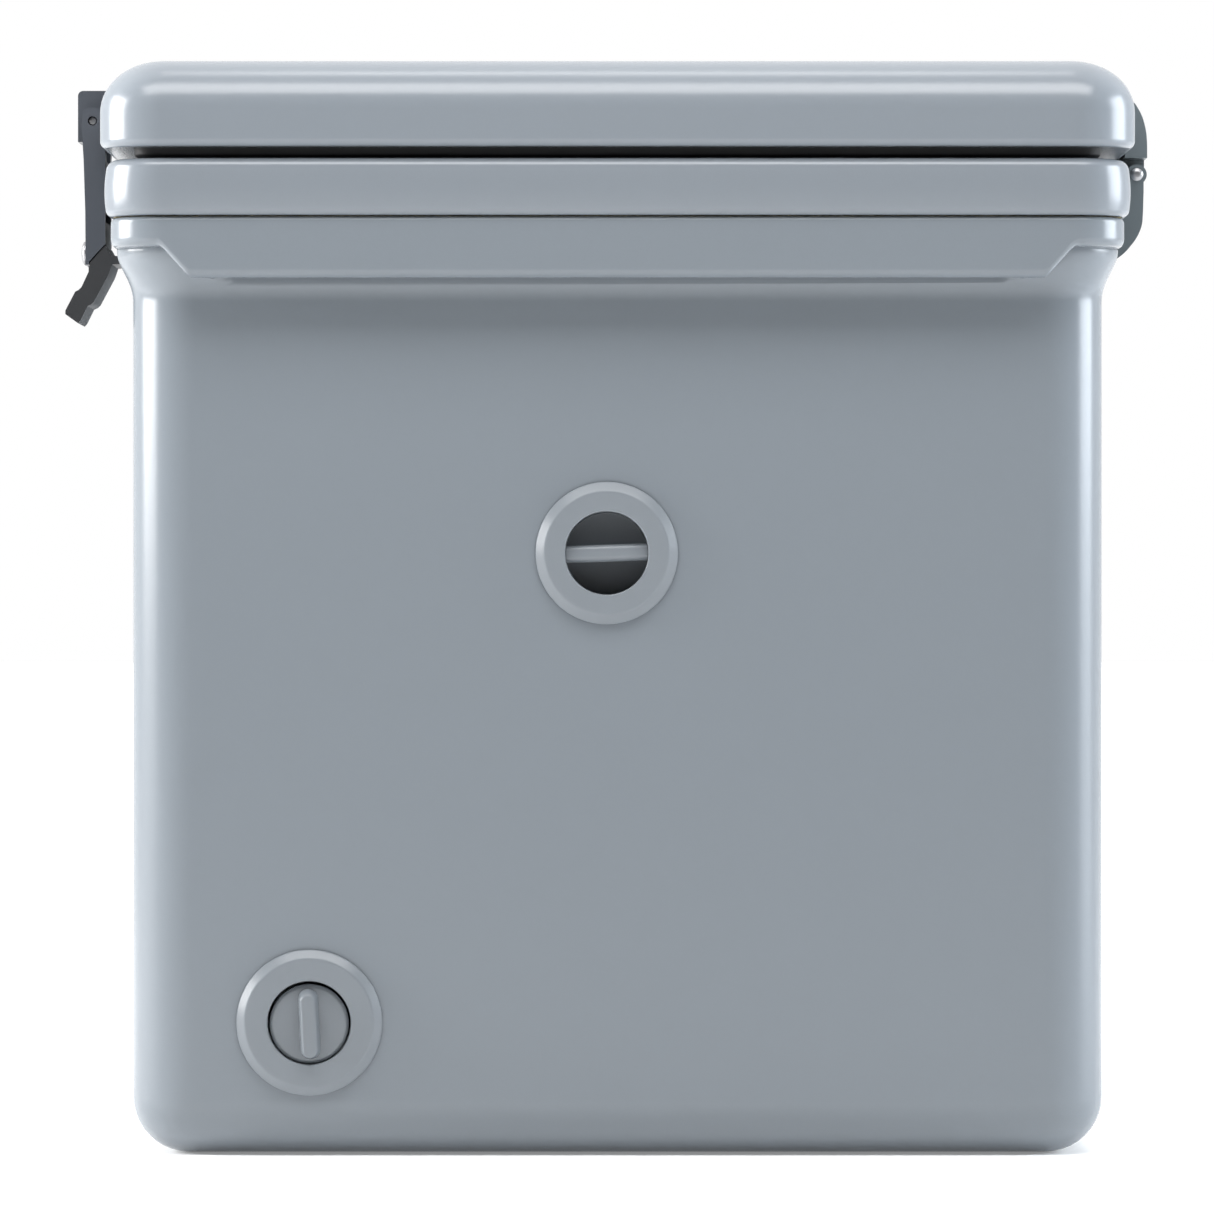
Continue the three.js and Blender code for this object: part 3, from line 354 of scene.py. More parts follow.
def metal(name, colour, roughness):
    """Stainless steel with fine turning lines and small stains."""
    material = bpy.data.materials.new(name)
    material.use_nodes = True
    nodes, wires = material.node_tree.nodes, material.node_tree.links
    shader = nodes["Principled BSDF"]
    shader.inputs["Metallic"].default_value = 1
    place = nodes.new("ShaderNodeTexCoord")
    stain = nodes.new("ShaderNodeTexNoise")
    stain.inputs["Scale"].default_value = 90
    stain.inputs["Detail"].default_value = 5
    wires.new(place.outputs["Object"], stain.inputs["Vector"])
    tint = nodes.new("ShaderNodeValToRGB")
    tint.color_ramp.elements[0].color = (*[c * 0.82 for c in colour], 1)
    tint.color_ramp.elements[1].color = (*colour, 1)
    wires.new(stain.outputs["Fac"], tint.inputs["Fac"])
    wires.new(tint.outputs["Color"], shader.inputs["Base Color"])
    lines = nodes.new("ShaderNodeTexNoise")
    lines.inputs["Scale"].default_value = 900
    wires.new(place.outputs["Object"], lines.inputs["Vector"])
    gloss = nodes.new("ShaderNodeMapRange")
    gloss.inputs["To Min"].default_value = roughness * 0.7
    gloss.inputs["To Max"].default_value = roughness * 1.4
    wires.new(lines.outputs["Fac"], gloss.inputs["Value"])
    wires.new(gloss.outputs["Result"], shader.inputs["Roughness"])
    return material


MATERIALS = {
    "shell_moulding": moulded(
        "tub_plastic", (0.177, 0.200, 0.223), (0.170, 0.192, 0.214),
        roughness=0.245, gloss_range=0.02, peel=380, peel_depth=0.00001,
    ),
    # Painted light: the lid plastic is the tub plastic painted about 8% lighter, a painted highlight for the
    # overhead light that falls more on the top of the cooler.
    "lid_moulding": moulded(
        "lid_plastic_painted_light", (0.192, 0.215, 0.240), (0.184, 0.206, 0.230),
        roughness=0.24, gloss_range=0.02, peel=380, peel_depth=0.00001,
    ),
    # Painted light: the liner plastic, seen at the rim, is the tub plastic painted about 7% lighter, a
    # painted highlight for the overhead light on the top of the cooler.
    "liner_moulding": moulded(
        "liner_plastic_painted_light", (0.190, 0.212, 0.236), (0.182, 0.203, 0.226),
        roughness=0.24, gloss_range=0.02, peel=380, peel_depth=0.00001,
    ),
    "fitting": moulded(
        "fitting_plastic", (0.180, 0.199, 0.219), (0.174, 0.194, 0.214),
        roughness=0.32, gloss_range=0.02, peel=900, peel_depth=0.00001,
    ),
    "drain_plug": moulded(
        "plug_plastic", (0.170, 0.188, 0.206), (0.164, 0.182, 0.200),
        roughness=0.24, gloss_range=0.02, peel=900, peel_depth=0.00001,
    ),
    "foam": moulded(
        "foam", (0.62, 0.53, 0.3), (0.52, 0.43, 0.22),
        roughness=0.9, gloss_range=0.05, peel=700, peel_depth=0.0004, speckle=60,
    ),
    "seal_rubber": moulded(
        "seal_rubber", (0.012, 0.012, 0.013), (0.008, 0.008, 0.009),
        roughness=0.62, gloss_range=0.08, peel=1500, peel_depth=0.00003, speckle=30,
    ),
    "hinge_nylon": moulded(
        "hinge_nylon", (0.105, 0.125, 0.135), (0.088, 0.107, 0.117),
        roughness=0.4, gloss_range=0.06, peel=1300, peel_depth=0.00002, speckle=25,
    ),
    "latch_nylon": moulded(
        "latch_nylon", (0.060, 0.067, 0.080), (0.050, 0.056, 0.068),
        roughness=0.36, gloss_range=0.06, peel=1300, peel_depth=0.00002, speckle=25,
    ),
    "catch_black": moulded(
        "catch_nylon", (0.022, 0.023, 0.025), (0.016, 0.017, 0.019),
        roughness=0.5, gloss_range=0.07, peel=1300, peel_depth=0.00003, speckle=25,
    ),
    "stainless": metal("stainless", (0.36, 0.36, 0.37), 0.36),
    "tyre": moulded(
        "tyre_rubber", (0.02, 0.02, 0.021), (0.012, 0.012, 0.013),
        roughness=0.72, gloss_range=0.08, peel=800, peel_depth=0.00006, speckle=20,
    ),
    "hub": moulded(
        "hub_nylon", (0.075, 0.085, 0.097), (0.062, 0.071, 0.082),
        roughness=0.38, gloss_range=0.06, peel=1000, peel_depth=0.00003, speckle=20,
    ),
    "bush": moulded(
        "bush_plastic", (0.72, 0.7, 0.64), (0.66, 0.63, 0.56),
        roughness=0.45, gloss_range=0.05, peel=1000, peel_depth=0.00003, speckle=20,
    ),
}

for part in frame["record"]["subparts"]:
    for place in frame["nodes"][part["node"]].material_slots:
        place.material = MATERIALS[part["material_slot"]]


def finish_piece(made, body, node, slot_name):
    """Gives a finished surface its material and lets it stand for a CAD node on a body."""
    made.data.materials.clear()
    made.data.materials.append(MATERIALS[slot_name])
    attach(made, body)
    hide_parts(node)
    return made


# ---- Tub: outer shell ----
LIP_PITCH = 3.0  # spacing of the points across an end face
SIDE_PITCH = 6.5


def spread(start, end, pitch):
    count = max(1, round(abs(end - start) / pitch))
    return [start + (end - start) * i / count for i in range(count)]


def shell_stations():
    """Where each point of the shell's rings lies: a corner and an angle, or a share of a straight face."""
    stations = []
    for quarter in range(4):
        for i in range(16):
            stations.append(("corner", quarter, i / 16))
        along_x = quarter % 2 == 0
        run = 2 * (BAND_X - BAND_CORNER) if along_x else 2 * (BAND_Y - BAND_CORNER)
        count = round(run / (LIP_PITCH if along_x else SIDE_PITCH))
        for i in range(count):
            stations.append(("face", quarter, i / count))
    return stations


def place_station(station, half_x, half_y, radius):
    kind, quarter, share = station
    signs = [(1, 1), (-1, 1), (-1, -1), (1, -1)]

    def at(q, turn):
        sx, sy = signs[q % 4]
        angle = (q % 4 + turn) * math.pi / 2
        x = sx * (half_x - radius) + radius * math.cos(angle)
        return x, sy * (half_y - radius) + radius * math.sin(angle)

    if kind == "corner":
        return at(quarter, share)
    a, b = at(quarter, 1), at(quarter + 1, 0)
    return a[0] + (b[0] - a[0]) * share, a[1] + (b[1] - a[1]) * share


def ease(value):
    value = min(1.0, max(0.0, value))
    return value * value * (3 - 2 * value)


def shell_facts(station):
    """How much a station belongs to the lip, its finger pocket and a latch recess, each 0 to 1."""
    x, y = place_station(station, BAND_X, BAND_Y, BAND_CORNER)
    on_end = abs(y) > BAND_Y - 0.01
    lip = (LIP_HIGH - abs(x)) / (LIP_HIGH - LIP_LOW) if on_end else 0
    pocket = ease((POCKET_HALF + 3 - abs(x)) / 6) if on_end else 0
    near = min(abs(y - LATCH_Y), abs(y + LATCH_Y))
    recess = ease((RECESS_HALF - near) / RECESS_RAMP) if x < 0 and not on_end and abs(x) > BAND_X - 1 else 0
    return min(1.0, max(0.0, lip)), pocket, recess


def outer_shell():
    stations = shell_stations()
    facts = [shell_facts(s) for s in stations]
    rings = []

    def level(size):
        points = []
        for station, fact in zip(stations, facts):
            half_x, half_y, radius, z = size(*fact)
            x, y = place_station(station, half_x, half_y, radius)
            points.append((x, y, z))
        rings.append(points)

    for inwards, height in fillet(BASE_ROUND, 9):
        level(lambda *f: (BODY_X - inwards, BODY_Y - inwards, BODY_CORNER - inwards, height))
    for height in (120, 240, 330):
        level(lambda *f: (BODY_X, BODY_Y, BODY_CORNER, height))

    def under(lip, pocket):
        return BAND_BOTTOM - (BAND_BOTTOM - LIP_BOTTOM) * lip * (1 - pocket) - 2 * pocket

    steps = 14
    for i in range(steps + 1):
        out = COVE_OUT * ease((i / steps) ** 1.2)
        height = BAND_BOTTOM - COVE_HIGH * (1 - 0.96 * i / steps)

        def cove(lip, pocket, recess):
            out_x = out * (1 - recess) + min(out, 0.5) * recess
            out_y = out * (1 - pocket) + min(out, 1.5) * pocket
            top = under(lip, pocket) - 0.01 * (steps + 1 - i)
            return BODY_X + out_x, BODY_Y + out_y, BODY_CORNER + out * 0.5, min(height, top)

        level(cove)

    front_x, front_y = BAND_X - 2.5, BAND_Y - 6
    edge_x, edge_y = 2.5, 4.0

    def cove_top(lip, pocket, recess):
        back_x = (BODY_X + COVE_OUT) * (1 - recess) + (BODY_X + 0.5) * recess
        back_y = (BODY_Y + COVE_OUT) * (1 - pocket) + (BODY_Y + 1.5) * pocket
        return back_x, back_y, BODY_CORNER + 4, under(lip, pocket)

    level(cove_top)
    level(lambda lip, pocket, recess: (front_x, front_y, 24, under(lip, pocket)))
    level(lambda lip, pocket, recess: (front_x, front_y, 24, BAND_BOTTOM - (BAND_BOTTOM - LIP_BOTTOM) * lip))
    for turn in range(0, 91, 15):
        grow = math.sin(math.radians(turn))
        rise = 4 * (1 - math.cos(math.radians(turn)))

        def band(lip, pocket, recess):
            bottom = BAND_BOTTOM - (BAND_BOTTOM - LIP_BOTTOM) * lip
            half_x, half_y = BAND_X - edge_x * (1 - grow), BAND_Y - edge_y * (1 - grow)
            return half_x, half_y, BAND_CORNER - 2 * (1 - grow), bottom + rise

        level(band)
    level(lambda *f: (BAND_X, BAND_Y, BAND_CORNER, SHELL_TOP - 4.5))
    for turn in range(0, 91, 18):
        inwards = 2.6 * (1 - math.cos(math.radians(turn)))
        height = SHELL_TOP - 2.6 + 2.6 * math.sin(math.radians(turn))
        level(lambda *f: (BAND_X - inwards, BAND_Y - inwards, BAND_CORNER - inwards, height))
    return loft("outer_shell_fine", rings)


def shell_hollow():
    inset = SKIN
    rings = []
    for away, up in fillet(BASE_ROUND - inset, 15):
        inwards = away + inset
        rings.append(ring(BODY_X - inwards, BODY_Y - inwards, BODY_CORNER - inwards, inset + up))
    rings.append(ring(BODY_X - inset, BODY_Y - inset, BODY_CORNER - inset, BAND_BOTTOM + inset))
    rings.append(ring(BAND_X - inset, BAND_Y - inset, BAND_CORNER - inset, BAND_BOTTOM + inset + 0.01))
    rings.append(ring(BAND_X - inset, BAND_Y - inset, BAND_CORNER - inset, SHELL_TOP - inset))
    rings.append(ring(BAND_X - FLANGE, BAND_Y - FLANGE, FLANGE_CORNER, SHELL_TOP - inset + 0.01))
    rings.append(ring(BAND_X - FLANGE, BAND_Y - FLANGE, FLANGE_CORNER, SHELL_TOP + 5))
    return loft("hollow", rings)


def ramp_wedge(inset):
    lift = inset * math.hypot(1, RAMP_SLOPE)
    reach = 200
    outline = [
        (RAMP_START - reach, -reach), (RAMP_START + reach, -reach),
        (RAMP_START + reach, reach * RAMP_SLOPE + lift), (RAMP_START - reach, -reach * RAMP_SLOPE + lift),
    ]
    return prism("ramp", outline, "X", -LID_X, LID_X)


def wheel_well(side, grow):
    """The space that one wheel needs, open at the side wall."""
    ends = sorted((side * (WELL_INNER - grow), side * (LID_X + 5)))
    return rod("well", WELL_RADIUS + grow, *ends, "X", (0, AXLE_Y, AXLE_Z), 128)


def make_outer_shell():
    shell = cut(outer_shell(), ramp_wedge(0), wheel_well(-1, 0), wheel_well(1, 0))
    soften(shell, 1.6, 4, 40)
    hollow = cut(shell_hollow(), ramp_wedge(SKIN), wheel_well(-1, SKIN + 0.01), wheel_well(1, SKIN + 0.01))
    cut(shell, hollow)
    drain = (DRAIN.x, WALL_Y, DRAIN.z)
    tow = (TOW.x, WALL_Y, TOW.z)
    fitting_hole = FITTING_BODY + GAP
    cut(shell, rod("hole", fitting_hole, -9, 30, "Y", drain), rod("hole", fitting_hole, -9, 36, "Y", tow))
    cut(shell, rod("hole", SLEEVE_HOLE, -LID_X, LID_X, "X", (0, AXLE_Y, AXLE_Z)))
    smooth(shell)
    return finish_piece(shell, "body", "outer_shell", "shell_moulding")


# ---- Tub: liner with its wrapped rim ----


def cavity(name, grow, top, flare=0.0):
    bottom = FLOOR - grow
    rings = []

    def level(inwards, z):
        drawn = CAVITY_DRAFT * (RIM_TOP - z) / (RIM_TOP - FLOOR)
        step = inwards + drawn - grow
        rings.append(ring(MOUTH_X - step, MOUTH_Y - step, CAVITY_CORNER - step, z))

    for away, up in fillet(CAVITY_ROUND + grow, 10):
        level(away, bottom + up)
    if flare:
        for turn in range(0, 91, 10):
            angle = math.radians(turn)
            level(-flare * (1 - math.cos(angle)), RIM_TOP - flare + flare * math.sin(angle))
        rings.append([(x, y, top) for x, y, z in rings[-1]])
    else:
        level(0, top)
    made = loft(name, rings)
    step_block = block("step", (-LID_X, STEP_Y + grow, -1), (LID_X, LID_Y, STEP_TOP - grow))
    return cut(made, step_block)


def make_inner_liner():
    rings = []

    def level(inwards, z):
        share = (z - RIM_BOTTOM) / (RIM_TOP - RIM_BOTTOM)
        inwards += 1.4 * (share - 0.45) ** 2 * 4
        rings.append(ring(RIM_X - inwards, RIM_Y - inwards, RIM_CORNER - inwards, z, 24))

    for away, up in fillet(3, 15):
        level(away, RIM_BOTTOM + up)
    for height in spread(RIM_BOTTOM + 3, RIM_TOP - 4, 2.2)[1:]:
        level(0, height)
    for turn in range(0, 91, 9):
        level(4 * (1 - math.cos(math.radians(turn))), RIM_TOP - 4 + 4 * math.sin(math.radians(turn)))
    liner = loft("inner_liner_fine", rings)
    inset = SKIN
    hollow = slab("hollow", RIM_X - inset, RIM_Y - inset, RIM_CORNER - inset, RIM_BOTTOM - 1, RIM_TOP - inset)
    cut(liner, hollow)
    join(liner, cavity("skin", SKIN, RIM_TOP - 1.5))
    space = soften(cavity("space", 0, RIM_TOP + 5, 4.0), 6, 5, 50)
    cut(liner, space)
    cut(liner, rod("hole", PIPE_RADIUS + GAP, -9, 90, "Y", (DRAIN.x, WALL_Y, DRAIN.z)))
    smooth(liner)
    return finish_piece(liner, "body", "inner_liner", "liner_moulding")


# ---- Drain fitting, plug and tow cup ----
HOLE = 19.4
PROUD = 4.5


def make_drain_bush():
    centre = (DRAIN.x, WALL_Y, DRAIN.z)
    profile = [
        (HOLE, -PROUD), (HOLE + 10.6, -PROUD), (HOLE + 14.6, -1.3), (HOLE + 14.6, 0),
        (FITTING_BODY, 0), (FITTING_BODY, 27), (PIPE_RADIUS, 27), (PIPE_RADIUS, 71),
        (11, 71), (11, 24), (HOLE, 24),
    ]
    bush = turned("drain_bush_fine", rounded(profile, 0.7, 4, True), "Y", centre, 96, True)
    cut(bush, cavity("space", 0, RIM_TOP))
    smooth(bush, 50)
    return finish_piece(bush, "body", "drain_bush", "fitting")


def make_tow_cup():
    centre = (TOW.x, WALL_Y, TOW.z)
    profile = [
        (0, 30), (HOLE, 30), (HOLE, -PROUD), (HOLE + 9.5, -PROUD), (HOLE + 13.8, -1.1), (HOLE + 13.8, 0),
        (FITTING_BODY, 0), (FITTING_BODY, 33), (0, 33),
    ]
    cup = turned("tow_cup_fine", rounded(profile, 0.7, 4), "Y", centre, 96)
    cut(cup, tow_bar("slot", GAP))
    smooth(cup, 50)
    return finish_piece(cup, "body", "tow_cup", "fitting")


def tow_bar(name, grow):
    half, depth, height = HOLE + 2 + grow, 3.5 + grow, 4 + grow
    bar = block(name, (-half, -depth, -height), (half, depth, height))
    turn = Matrix.Rotation(math.radians(-1.9), 4, "Y")
    move = Matrix.Translation(Vector((TOW.x, WALL_Y + 3.5, TOW.z)) * MM)
    bar.data.transform(move @ turn)
    return bar


def make_tow_bar():
    bar = smooth(soften(tow_bar("tow_bar_fine", 0), 2.8, 6))
    return finish_piece(bar, "body", "tow_bar", "fitting")


PLUG = HOLE - 0.9
FIN_LONG = 33.0
FIN_LEVELS = (  # depth, half width and how far the upper end is drawn in
    (1.0, 4.9, 0.0), (-1.5, 4.7, 0.2), (-5.0, 4.0, 1.2), (-7.2, 3.6, 2.2), (-7.9, 3.0, 2.9), (-8.0, 2.4, 3.5),
)


def stadium(half_width, half_long, top_inset, depth):
    """A slot-shaped ring, whose upper end can be drawn in further than its lower one."""
    points = []
    for quarter in (0, 1):
        high = quarter == 0
        reach = half_long - half_width - (top_inset if high else top_inset * 0.4)
        for i in range(17):
            angle = math.pi * (quarter + i / 16)
            z = (1 if high else -1) * reach + half_width * math.sin(angle)
            points.append((half_width * math.cos(angle), depth, z))
    return points


def make_drain_plug():
    profile = [(0, 0), (PLUG - 1.4, 0), (PLUG, 0.9), (PLUG, 15), (0, 15)]
    plug = turned("drain_plug_fine", rounded(profile, 0.5, 3), "Y", (0, 0, 0), 96)
    fin = loft("fin", [stadium(width, FIN_LONG / 2, inset, depth) for depth, width, inset in FIN_LEVELS])
    join(plug, fin)
    turn = Matrix.Rotation(math.radians(-2.9), 4, "Y")
    move = Matrix.Translation(Vector((DRAIN.x, WALL_Y - PROUD + 2.5, DRAIN.z - 0.5)) * MM)
    plug.data.transform(move @ turn)
    smooth(plug, 40)
    return finish_piece(plug, "drain_plug", "drain_plug", "drain_plug")


make_outer_shell()
make_inner_liner()
make_drain_bush()
make_tow_cup()
make_tow_bar()
make_drain_plug()

# ---- Lid ----


def make_lid_cover():
    rings = []

    def level(inset, z, radius=None):
        radius = LID_CORNER - inset if radius is None else radius
        rings.append(ring(LID_X - inset, LID_Y - inset, max(radius, 3), z, 32))

    level(120, HEIGHT - SKIN, 6)
    level(31, HEIGHT - SKIN, 6)
    for turn in range(15, 91, 15):
        level(SKIN + 26 * (1 - math.sin(math.radians(turn))), HEIGHT - 24 + 20 * math.cos(math.radians(turn)))
    level(SKIN, PAN_TOP + 1)
    level(9, PAN_TOP + 0.9)
    level(9, LID_BOTTOM + 0.8)
    level(9.4, LID_BOTTOM)
    for away, up in fillet(3.6, 10):
        level(away, LID_BOTTOM + up)
    for turn in range(0, 91, 6):
        inset = 29 * (1 - math.cos(math.radians(turn)))
        level(inset, HEIGHT - 24 + 24 * math.sin(math.radians(turn)))
    crown = 1.2
    for inset, rise in ((40, 0.35), (60, 0.7), (90, 0.95), (130, 1.1), (200, 1.2)):
        level(inset, HEIGHT + crown * rise / 1.2, max(LID_CORNER - inset, 3))
    cover = loft("lid_cover_fine", rings)
    smooth(cover)
    return finish_piece(cover, "lid", "lid_cover", "lid_moulding")


def make_lid_liner():
    inset = 9.3
    pan = slab("lid_liner_fine", LID_X - inset, LID_Y - inset, LID_CORNER - inset, LID_BOTTOM, PAN_TOP, 24)
    plug_x, plug_y, plug_corner = MOUTH_X - PLUG_PLAY, MOUTH_Y - PLUG_PLAY, CAVITY_CORNER - PLUG_PLAY
    rings = []
    for away, up in fillet(5, 10):
        step = 2 + away
        rings.append(ring(plug_x - step, plug_y - step, plug_corner - step, PLUG_BOTTOM + up, 24))
    rings.append(ring(plug_x, plug_y, plug_corner, PAN_TOP, 24))
    join(pan, loft("plug", rings))
    inner = [
        ring(plug_x - 10, plug_y - 10, 10, PLUG_BOTTOM + SKIN, 8),
        ring(plug_x - 5, plug_y - 5, 14, PAN_TOP + 2, 8),
    ]
    cut(pan, loft("inside", inner))
    cut(pan, gasket_ring("groove", 0.3, LID_BOTTOM - 1, LID_BOTTOM + 3))
    smooth(pan)
    return finish_piece(pan, "lid", "lid_liner", "liner_moulding")


def gasket_ring(name, grow, low, high):
    half_x, half_y = LID_X - 16, LID_Y - 16
    outer = slab(name, half_x + grow, half_y + grow, 9, low, high, 24)
    inset = 10 + grow
    return cut(outer, slab("inside", half_x - inset, half_y - inset, 4, low - 1, high + 1, 24))


def make_gasket():
    """A soft seal: a flat root in its groove and a bulb that meets the rim."""
    low, high = corner("lid_gasket", False).z, corner("lid_gasket", True).z
    half_x, half_y = LID_X - 16, LID_Y - 16
    steps = 24
    section = [(0.2, high), (0.2, LID_BOTTOM + 0.2)]
    for turn in range(0, 181, 15):
        angle = math.radians(turn)
        section.append((5 - 4.6 * math.cos(angle), low + 2.3 - 2.3 * math.sin(angle)))
    section += [(9.8, LID_BOTTOM + 0.2), (9.8, high)]
    rings = [ring(half_x - inset, half_y - inset, 9 - inset * 0.5, z, steps) for inset, z in section]
    count = len(rings[0])
    verts = [point for level in rings for point in level]
    faces = []
    for level in range(len(rings)):
        here, there = level * count, ((level + 1) % len(rings)) * count
        for i in range(count):
            j = (i + 1) % count
            faces.append((here + i, here + j, there + j, there + i))
    gasket = new_object("lid_gasket_fine", verts, faces)
    smooth(gasket)
    return finish_piece(gasket, "lid", "lid_gasket", "seal_rubber")


make_lid_cover()
make_lid_liner()
make_gasket()

# ---- Hinges ----
HINGE_WIDTH = 90
KNUCKLES = 5
KNUCKLE = 4.8
PLAY = 0.2
UPPER_SEAT, RIM_SEAT, BAND_SEAT = LID_X + GAP, RIM_X + GAP, BAND_X + GAP
LOWER_PLATE_TOP = HINGE_Z - 7.9
UPPER_TOP = HEIGHT - 14
SCREW_SPREAD = HINGE_WIDTH / 3
UPPER_SCREW_Z = HEIGHT - 23.3
LOWER_SCREW_Z = SHELL_TOP - 7

UPPER_CURVE = [
    (UPPER_SEAT, HEIGHT - 20), (UPPER_SEAT - 0.5, UPPER_TOP), (LID_X + 4.5, UPPER_TOP + 0.3),
    (HINGE_X + 2.7, HEIGHT - 20.5), (HINGE_X + 4.6, HEIGHT - 28), (HINGE_X + 5, HEIGHT - 34),
    (HINGE_X + 5, LID_BOTTOM + GAP),
]
LOWER_CURVE = [
    (BAND_SEAT, BAND_BOTTOM - 2.6), (HINGE_X - 5.5, BAND_BOTTOM + 1.2), (HINGE_X, BAND_BOTTOM + 8),
    (HINGE_X + 2.6, BAND_BOTTOM + 14), (HINGE_X + 3, BAND_BOTTOM + 20), (HINGE_X + 3.3, LOWER_PLATE_TOP),
]
UPPER_OUTLINE = [(UPPER_SEAT, LID_BOTTOM + GAP)] + rounded(UPPER_CURVE, 4, 6)
LOWER_OUTLINE = [(RIM_SEAT, LOWER_PLATE_TOP), (RIM_SEAT, RIM_BOTTOM), (BAND_SEAT, SHELL_TOP)]
LOWER_OUTLINE += rounded(LOWER_CURVE, 4, 6)


def knuckle(y, slot, up):
    pitch = HINGE_WIDTH / KNUCKLES
    low = y - HINGE_WIDTH / 2 + slot * pitch + PLAY
    high = low + pitch - 2 * PLAY
    barrel = rod("knuckle", KNUCKLE, low, high, "Y", (HINGE_X, 0, HINGE_Z), 64)
    inner = HINGE_X - 5 if up else RIM_SEAT
    outer = HINGE_X + (4.8 if up else 3.3)
    levels = (HINGE_Z, LID_BOTTOM + 1) if up else (LOWER_PLATE_TOP - 1, HINGE_Z)
    return join(barrel, block("web", (inner, low, levels[0]), (outer, high, levels[1])))


def make_leaf(y, number, up):
    outline = UPPER_OUTLINE if up else LOWER_OUTLINE
    word = "upper" if up else "lower"
    half = HINGE_WIDTH / 2 - PLAY
    node = f"hinge_{word}_leaf_{number}"
    leaf = prism(node + "_fine", outline, "Y", y - half, y + half)
    for slot_number in (1, 3) if up else (0, 2, 4):
        join(leaf, knuckle(y, slot_number, up))
    cut(leaf, rod("bore", 2.75, y - 60, y + 60, "Y", (HINGE_X, 0, HINGE_Z), 48))
    seat = LID_X + 6 if up else BAND_X + 5.5
    z = UPPER_SCREW_Z if up else LOWER_SCREW_Z
    for side in (-1, 1):
        cut(leaf, rod("way", 2.4, LID_X - 20, seat + 1, "X", (0, y + side * SCREW_SPREAD, z), 32))
        cut(leaf, rod("well", 4.3, seat - 0.3, LID_X + 30, "X", (0, y + side * SCREW_SPREAD, z), 48))
    soften(leaf, 0.7, 3, 28)
    smooth(leaf, 50)
    return finish_piece(leaf, "lid" if up else "body", node, "hinge_nylon")


def make_pin(y, number):
    half = HINGE_WIDTH / 2
    profile = [
        (0, -half - 1.5), (1.6, -half - 1.4), (3.2, -half - GAP), (2.5, -half - GAP),
        (2.5, half + GAP), (3.2, half + GAP), (1.6, half + 1.4), (0, half + 1.5),
    ]
    pin = turned(f"hinge_pin_{number}_fine", rounded(profile, 0.5, 3), "Y", (HINGE_X, y, HINGE_Z), 48)
    smooth(pin, 50)
    return finish_piece(pin, "body", f"hinge_pin_{number}", "stainless")


def make_screw(node, body, seat, tip, out, y, z):
    """A domed screw with a hexagon socket; out is the way its head faces along X."""
    profile = [(0, tip - seat), (1.6, tip - seat), (2, tip - seat + out * 0.6), (2, 0), (4, 0)]
    for turn in range(0, 90, 12):
        angle = math.radians(turn)
        profile.append((4 * math.cos(angle), out * (0.5 + 1.9 * math.sin(angle))))
    profile.append((0, out * 2.4))
    screw = turned(node + "_fine", profile, "X", (seat, y, z), 40)
    socket = []
    for i in range(6):
        angle = math.radians(60 * i)
        socket.append((y + 1.5 * math.cos(angle), z + 1.5 * math.sin(angle)))
    ends = sorted((seat + out * 0.7, seat + out * 4))
    cut(screw, prism("socket", socket, "X", *ends))
    smooth(screw, 35)
    return finish_piece(screw, body, node, "stainless")


ENDS = ((-1, "1"), (1, "2"))
for end, number in ENDS:
    make_leaf(end * HINGE_Y, number, True)
    make_leaf(end * HINGE_Y, number, False)
    make_pin(end * HINGE_Y, number)
    for side, letter in ((-1, "a"), (1, "b")):
        y = end * HINGE_Y + side * SCREW_SPREAD
        upper, lower = f"hinge_screw_upper_{number}{letter}", f"hinge_screw_lower_{number}{letter}"
        make_screw(upper, "lid", LID_X + 6, LID_X - SKIN + 0.5, 1, y, UPPER_SCREW_Z)
        make_screw(lower, "body", BAND_X + 5.5, BAND_X - SKIN + 0.5, 1, y, LOWER_SCREW_Z)

# ---- Latches ----
LATCH_WIDTH = 46
NOSE = 6.5
PLATE = 1.2
HOOD_WIDTH = 25
EAR = 16
ARM_BACK = -LID_X - 2.5
CATCH_TOP = BAND_BOTTOM - GAP
RIVET_Z = BAND_BOTTOM + 1.4
RIVET_SPREAD = 11


def along_lid(low, high, steps):
    points = []
    for i in range(steps + 1):
        z = low + (high - low) * i / steps
        rise = max(0.0, (z - HEIGHT + 24) / 24)
        points.append((-(LID_X - 29 * (1 - math.sqrt(1 - rise * rise)) + GAP), z))
    return points


def pivot_bore(y):
    return rod("bore", 2.2, y - 40, y + 40, "Y", (LATCH_X, 0, LATCH_Z), 40)


def make_bracket(y, number):
    top = LATCH_Z + 15
    tip = LATCH_X - 7.6
    seat = -LID_X - GAP
    hood = along_lid(LATCH_Z - 14.5, top, 24) + arc(tip + 2.5, top - 2.5, 2.5, 90, 180, 8)
    hood += [
        (tip, LATCH_Z - 9.4), (tip + 2, LATCH_Z - 9.4), (tip + 2, LATCH_Z - 6), (LATCH_X - 3, LATCH_Z - 6),
        (seat - PLATE, LATCH_Z - 14.5),
    ]
    node = f"latch_bracket_{number}"
    bracket = prism(node + "_fine", hood, "Y", y - HOOD_WIDTH / 2, y + HOOD_WIDTH / 2)
    half = LATCH_WIDTH / 2 + EAR
    plate = block("plate", (seat - PLATE, y - half, LATCH_Z - 14.5), (seat, y + half, HEIGHT - 20))
    join(bracket, plate)
    cut(bracket, pivot_bore(y))
    for side in (-1, 1):
        spot = (0, y + side * (LATCH_WIDTH + EAR) / 2, LATCH_Z - 6)
        cut(bracket, rod("way", 2.4, -LID_X - 9, -LID_X, "X", spot, 32))
    soften(bracket, 0.6, 3, 28)
    smooth(bracket, 50)
    return finish_piece(bracket, "lid", node, "latch_nylon")


def rivet_ways(made, y, play):
    for side in (-1, 1):
        spot = (0, y + side * RIVET_SPREAD, RIVET_Z)
        cut(made, rod("way", 2.2 + play, LATCH_X - 8, LATCH_X + 9, "X", spot, 32))
    return made


